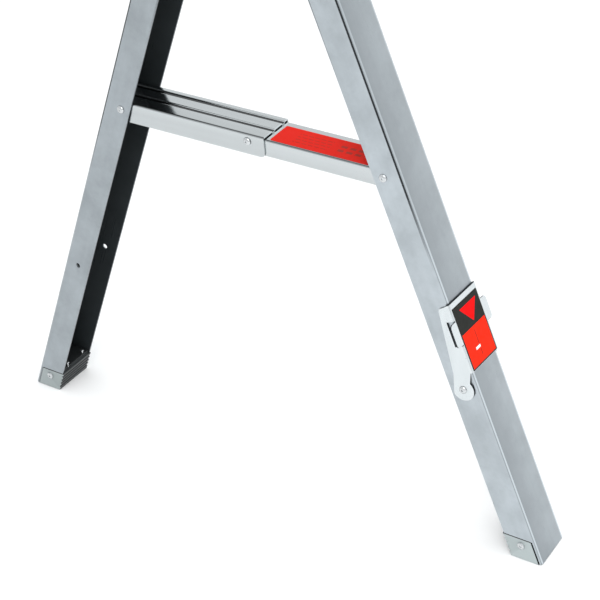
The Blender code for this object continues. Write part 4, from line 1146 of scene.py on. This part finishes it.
# %% Lobed knob
RIM, KNOB_BACK, KNOB_FRONT, KNOB_ROUND, STUD_RADIUS = 19.0, 38.0, 53.0, 5.0, 4.0
turn = np.linspace(0, np.pi / 2, 7)
shoulder = np.stack([RIM - KNOB_ROUND + KNOB_ROUND * np.cos(turn),
                     KNOB_FRONT - KNOB_ROUND + KNOB_ROUND * np.sin(turn)], axis=-1)
knob_profile = np.concatenate([[(0, KNOB_BACK), (RIM * 0.86, KNOB_BACK), (RIM, KNOB_BACK + 2.0)], shoulder,
                               [(9.0, KNOB_FRONT - 0.6), (6.0, KNOB_FRONT - 1.6), (0.0, KNOB_FRONT - 1.8)]])
stud = turned([(0, 17.5), (STUD_RADIUS, 17.5), (STUD_RADIUS, 45), (0, 45)], knob_centre, RIGHTWARD, sides=24)
lobed = turned(knob_profile, knob_centre, RIGHTWARD, sides=80, lobes=5, lobe_depth=0.13)
knob = sew("lobed_knob", lobed, stud)
settle(knob, clamp_plastic, "clamp_knob", "clamp_plastic", "clamp_knob")
print("knob at", knob_centre.round(3))

# %% Hinge bolt, nut and foot pin
HINGE_BOLT, HEAD_HALF = 5.0, 18.0
FOOT_PIN_HEAD = [(0, 3.0), (5.6, 3.0), (7.0, 1.5), (7.0, 0.0), (4.0, 0.0)]
reach = HEAD_HALF + GAP + BRACKET_GAUGE + GAP
hinge_spot = in_front_frame(0, HINGE_DEPTH, HINGE_HEIGHT)
bolt_profile = [(0, reach + 6), (7.2, reach + 6), (9.0, reach + 4.6), (9.0, reach), (HINGE_BOLT, reach),
                (HINGE_BOLT, -reach - 11.4), (HINGE_BOLT - 0.6, -reach - 12), (0, -reach - 12)]
fasten(sew("leg_pivot_bolt", turned(bolt_profile, hinge_spot, RIGHTWARD, sides=48)), "leg_hinge_bolt")
fasten(refined("leg_hinge_nut", "leg_pivot_nut", edge=0.3, crease=25.0), "leg_hinge_nut")
foot_profile = two_headed(FOOT_PIN_HEAD, LOWER_TUBE + 6.0 + GAP)
foot_spot = in_leg(0, 0, -LEG_LENGTH)
fasten(sew("foot_pivot_pin", turned(foot_profile, foot_spot, RIGHTWARD, sides=32)), "rear_foot_pin",
       body="leg_extension")
print("foot pin at", foot_spot.round(4))

# %% [markdown]
# ## Floor
# The floor is a plain pale sheet, much larger than the ladder, so that its edge stays far behind it.

# %% Floor
FLOOR_REACH, FLOOR_HEIGHT = 14.0, -0.0004
floor_line = np.linspace(-FLOOR_REACH, FLOOR_REACH, 3)
floor_x, floor_y = np.meshgrid(floor_line, floor_line)
floor_points = np.stack([floor_x, floor_y, np.full_like(floor_x, FLOOR_HEIGHT)], axis=-1)
floor = sew("pale_floor", (floor_points, quads(3, 3)))
floor_finish = Finish("pale_floor_paint")
grain = floor_finish.noise(floor_finish.place(), 40.0, 4.0)
floor_finish.set(Base_Color=floor_finish.blend(grain, (0.93, 0.93, 0.93), (0.96, 0.96, 0.96)), Roughness=0.85)
floor.data.materials.append(floor_finish.material)
print("floor", 2 * FLOOR_REACH, "m square")

# %% [markdown]
# ## Solids still shown
# The last cell lists the solids that are still shown, which keep their plain
# import finish.

# %% Solids still shown
shown = [name for name, node in cad_nodes.items() if not node.hide_render]
print("solids still shown:", shown)
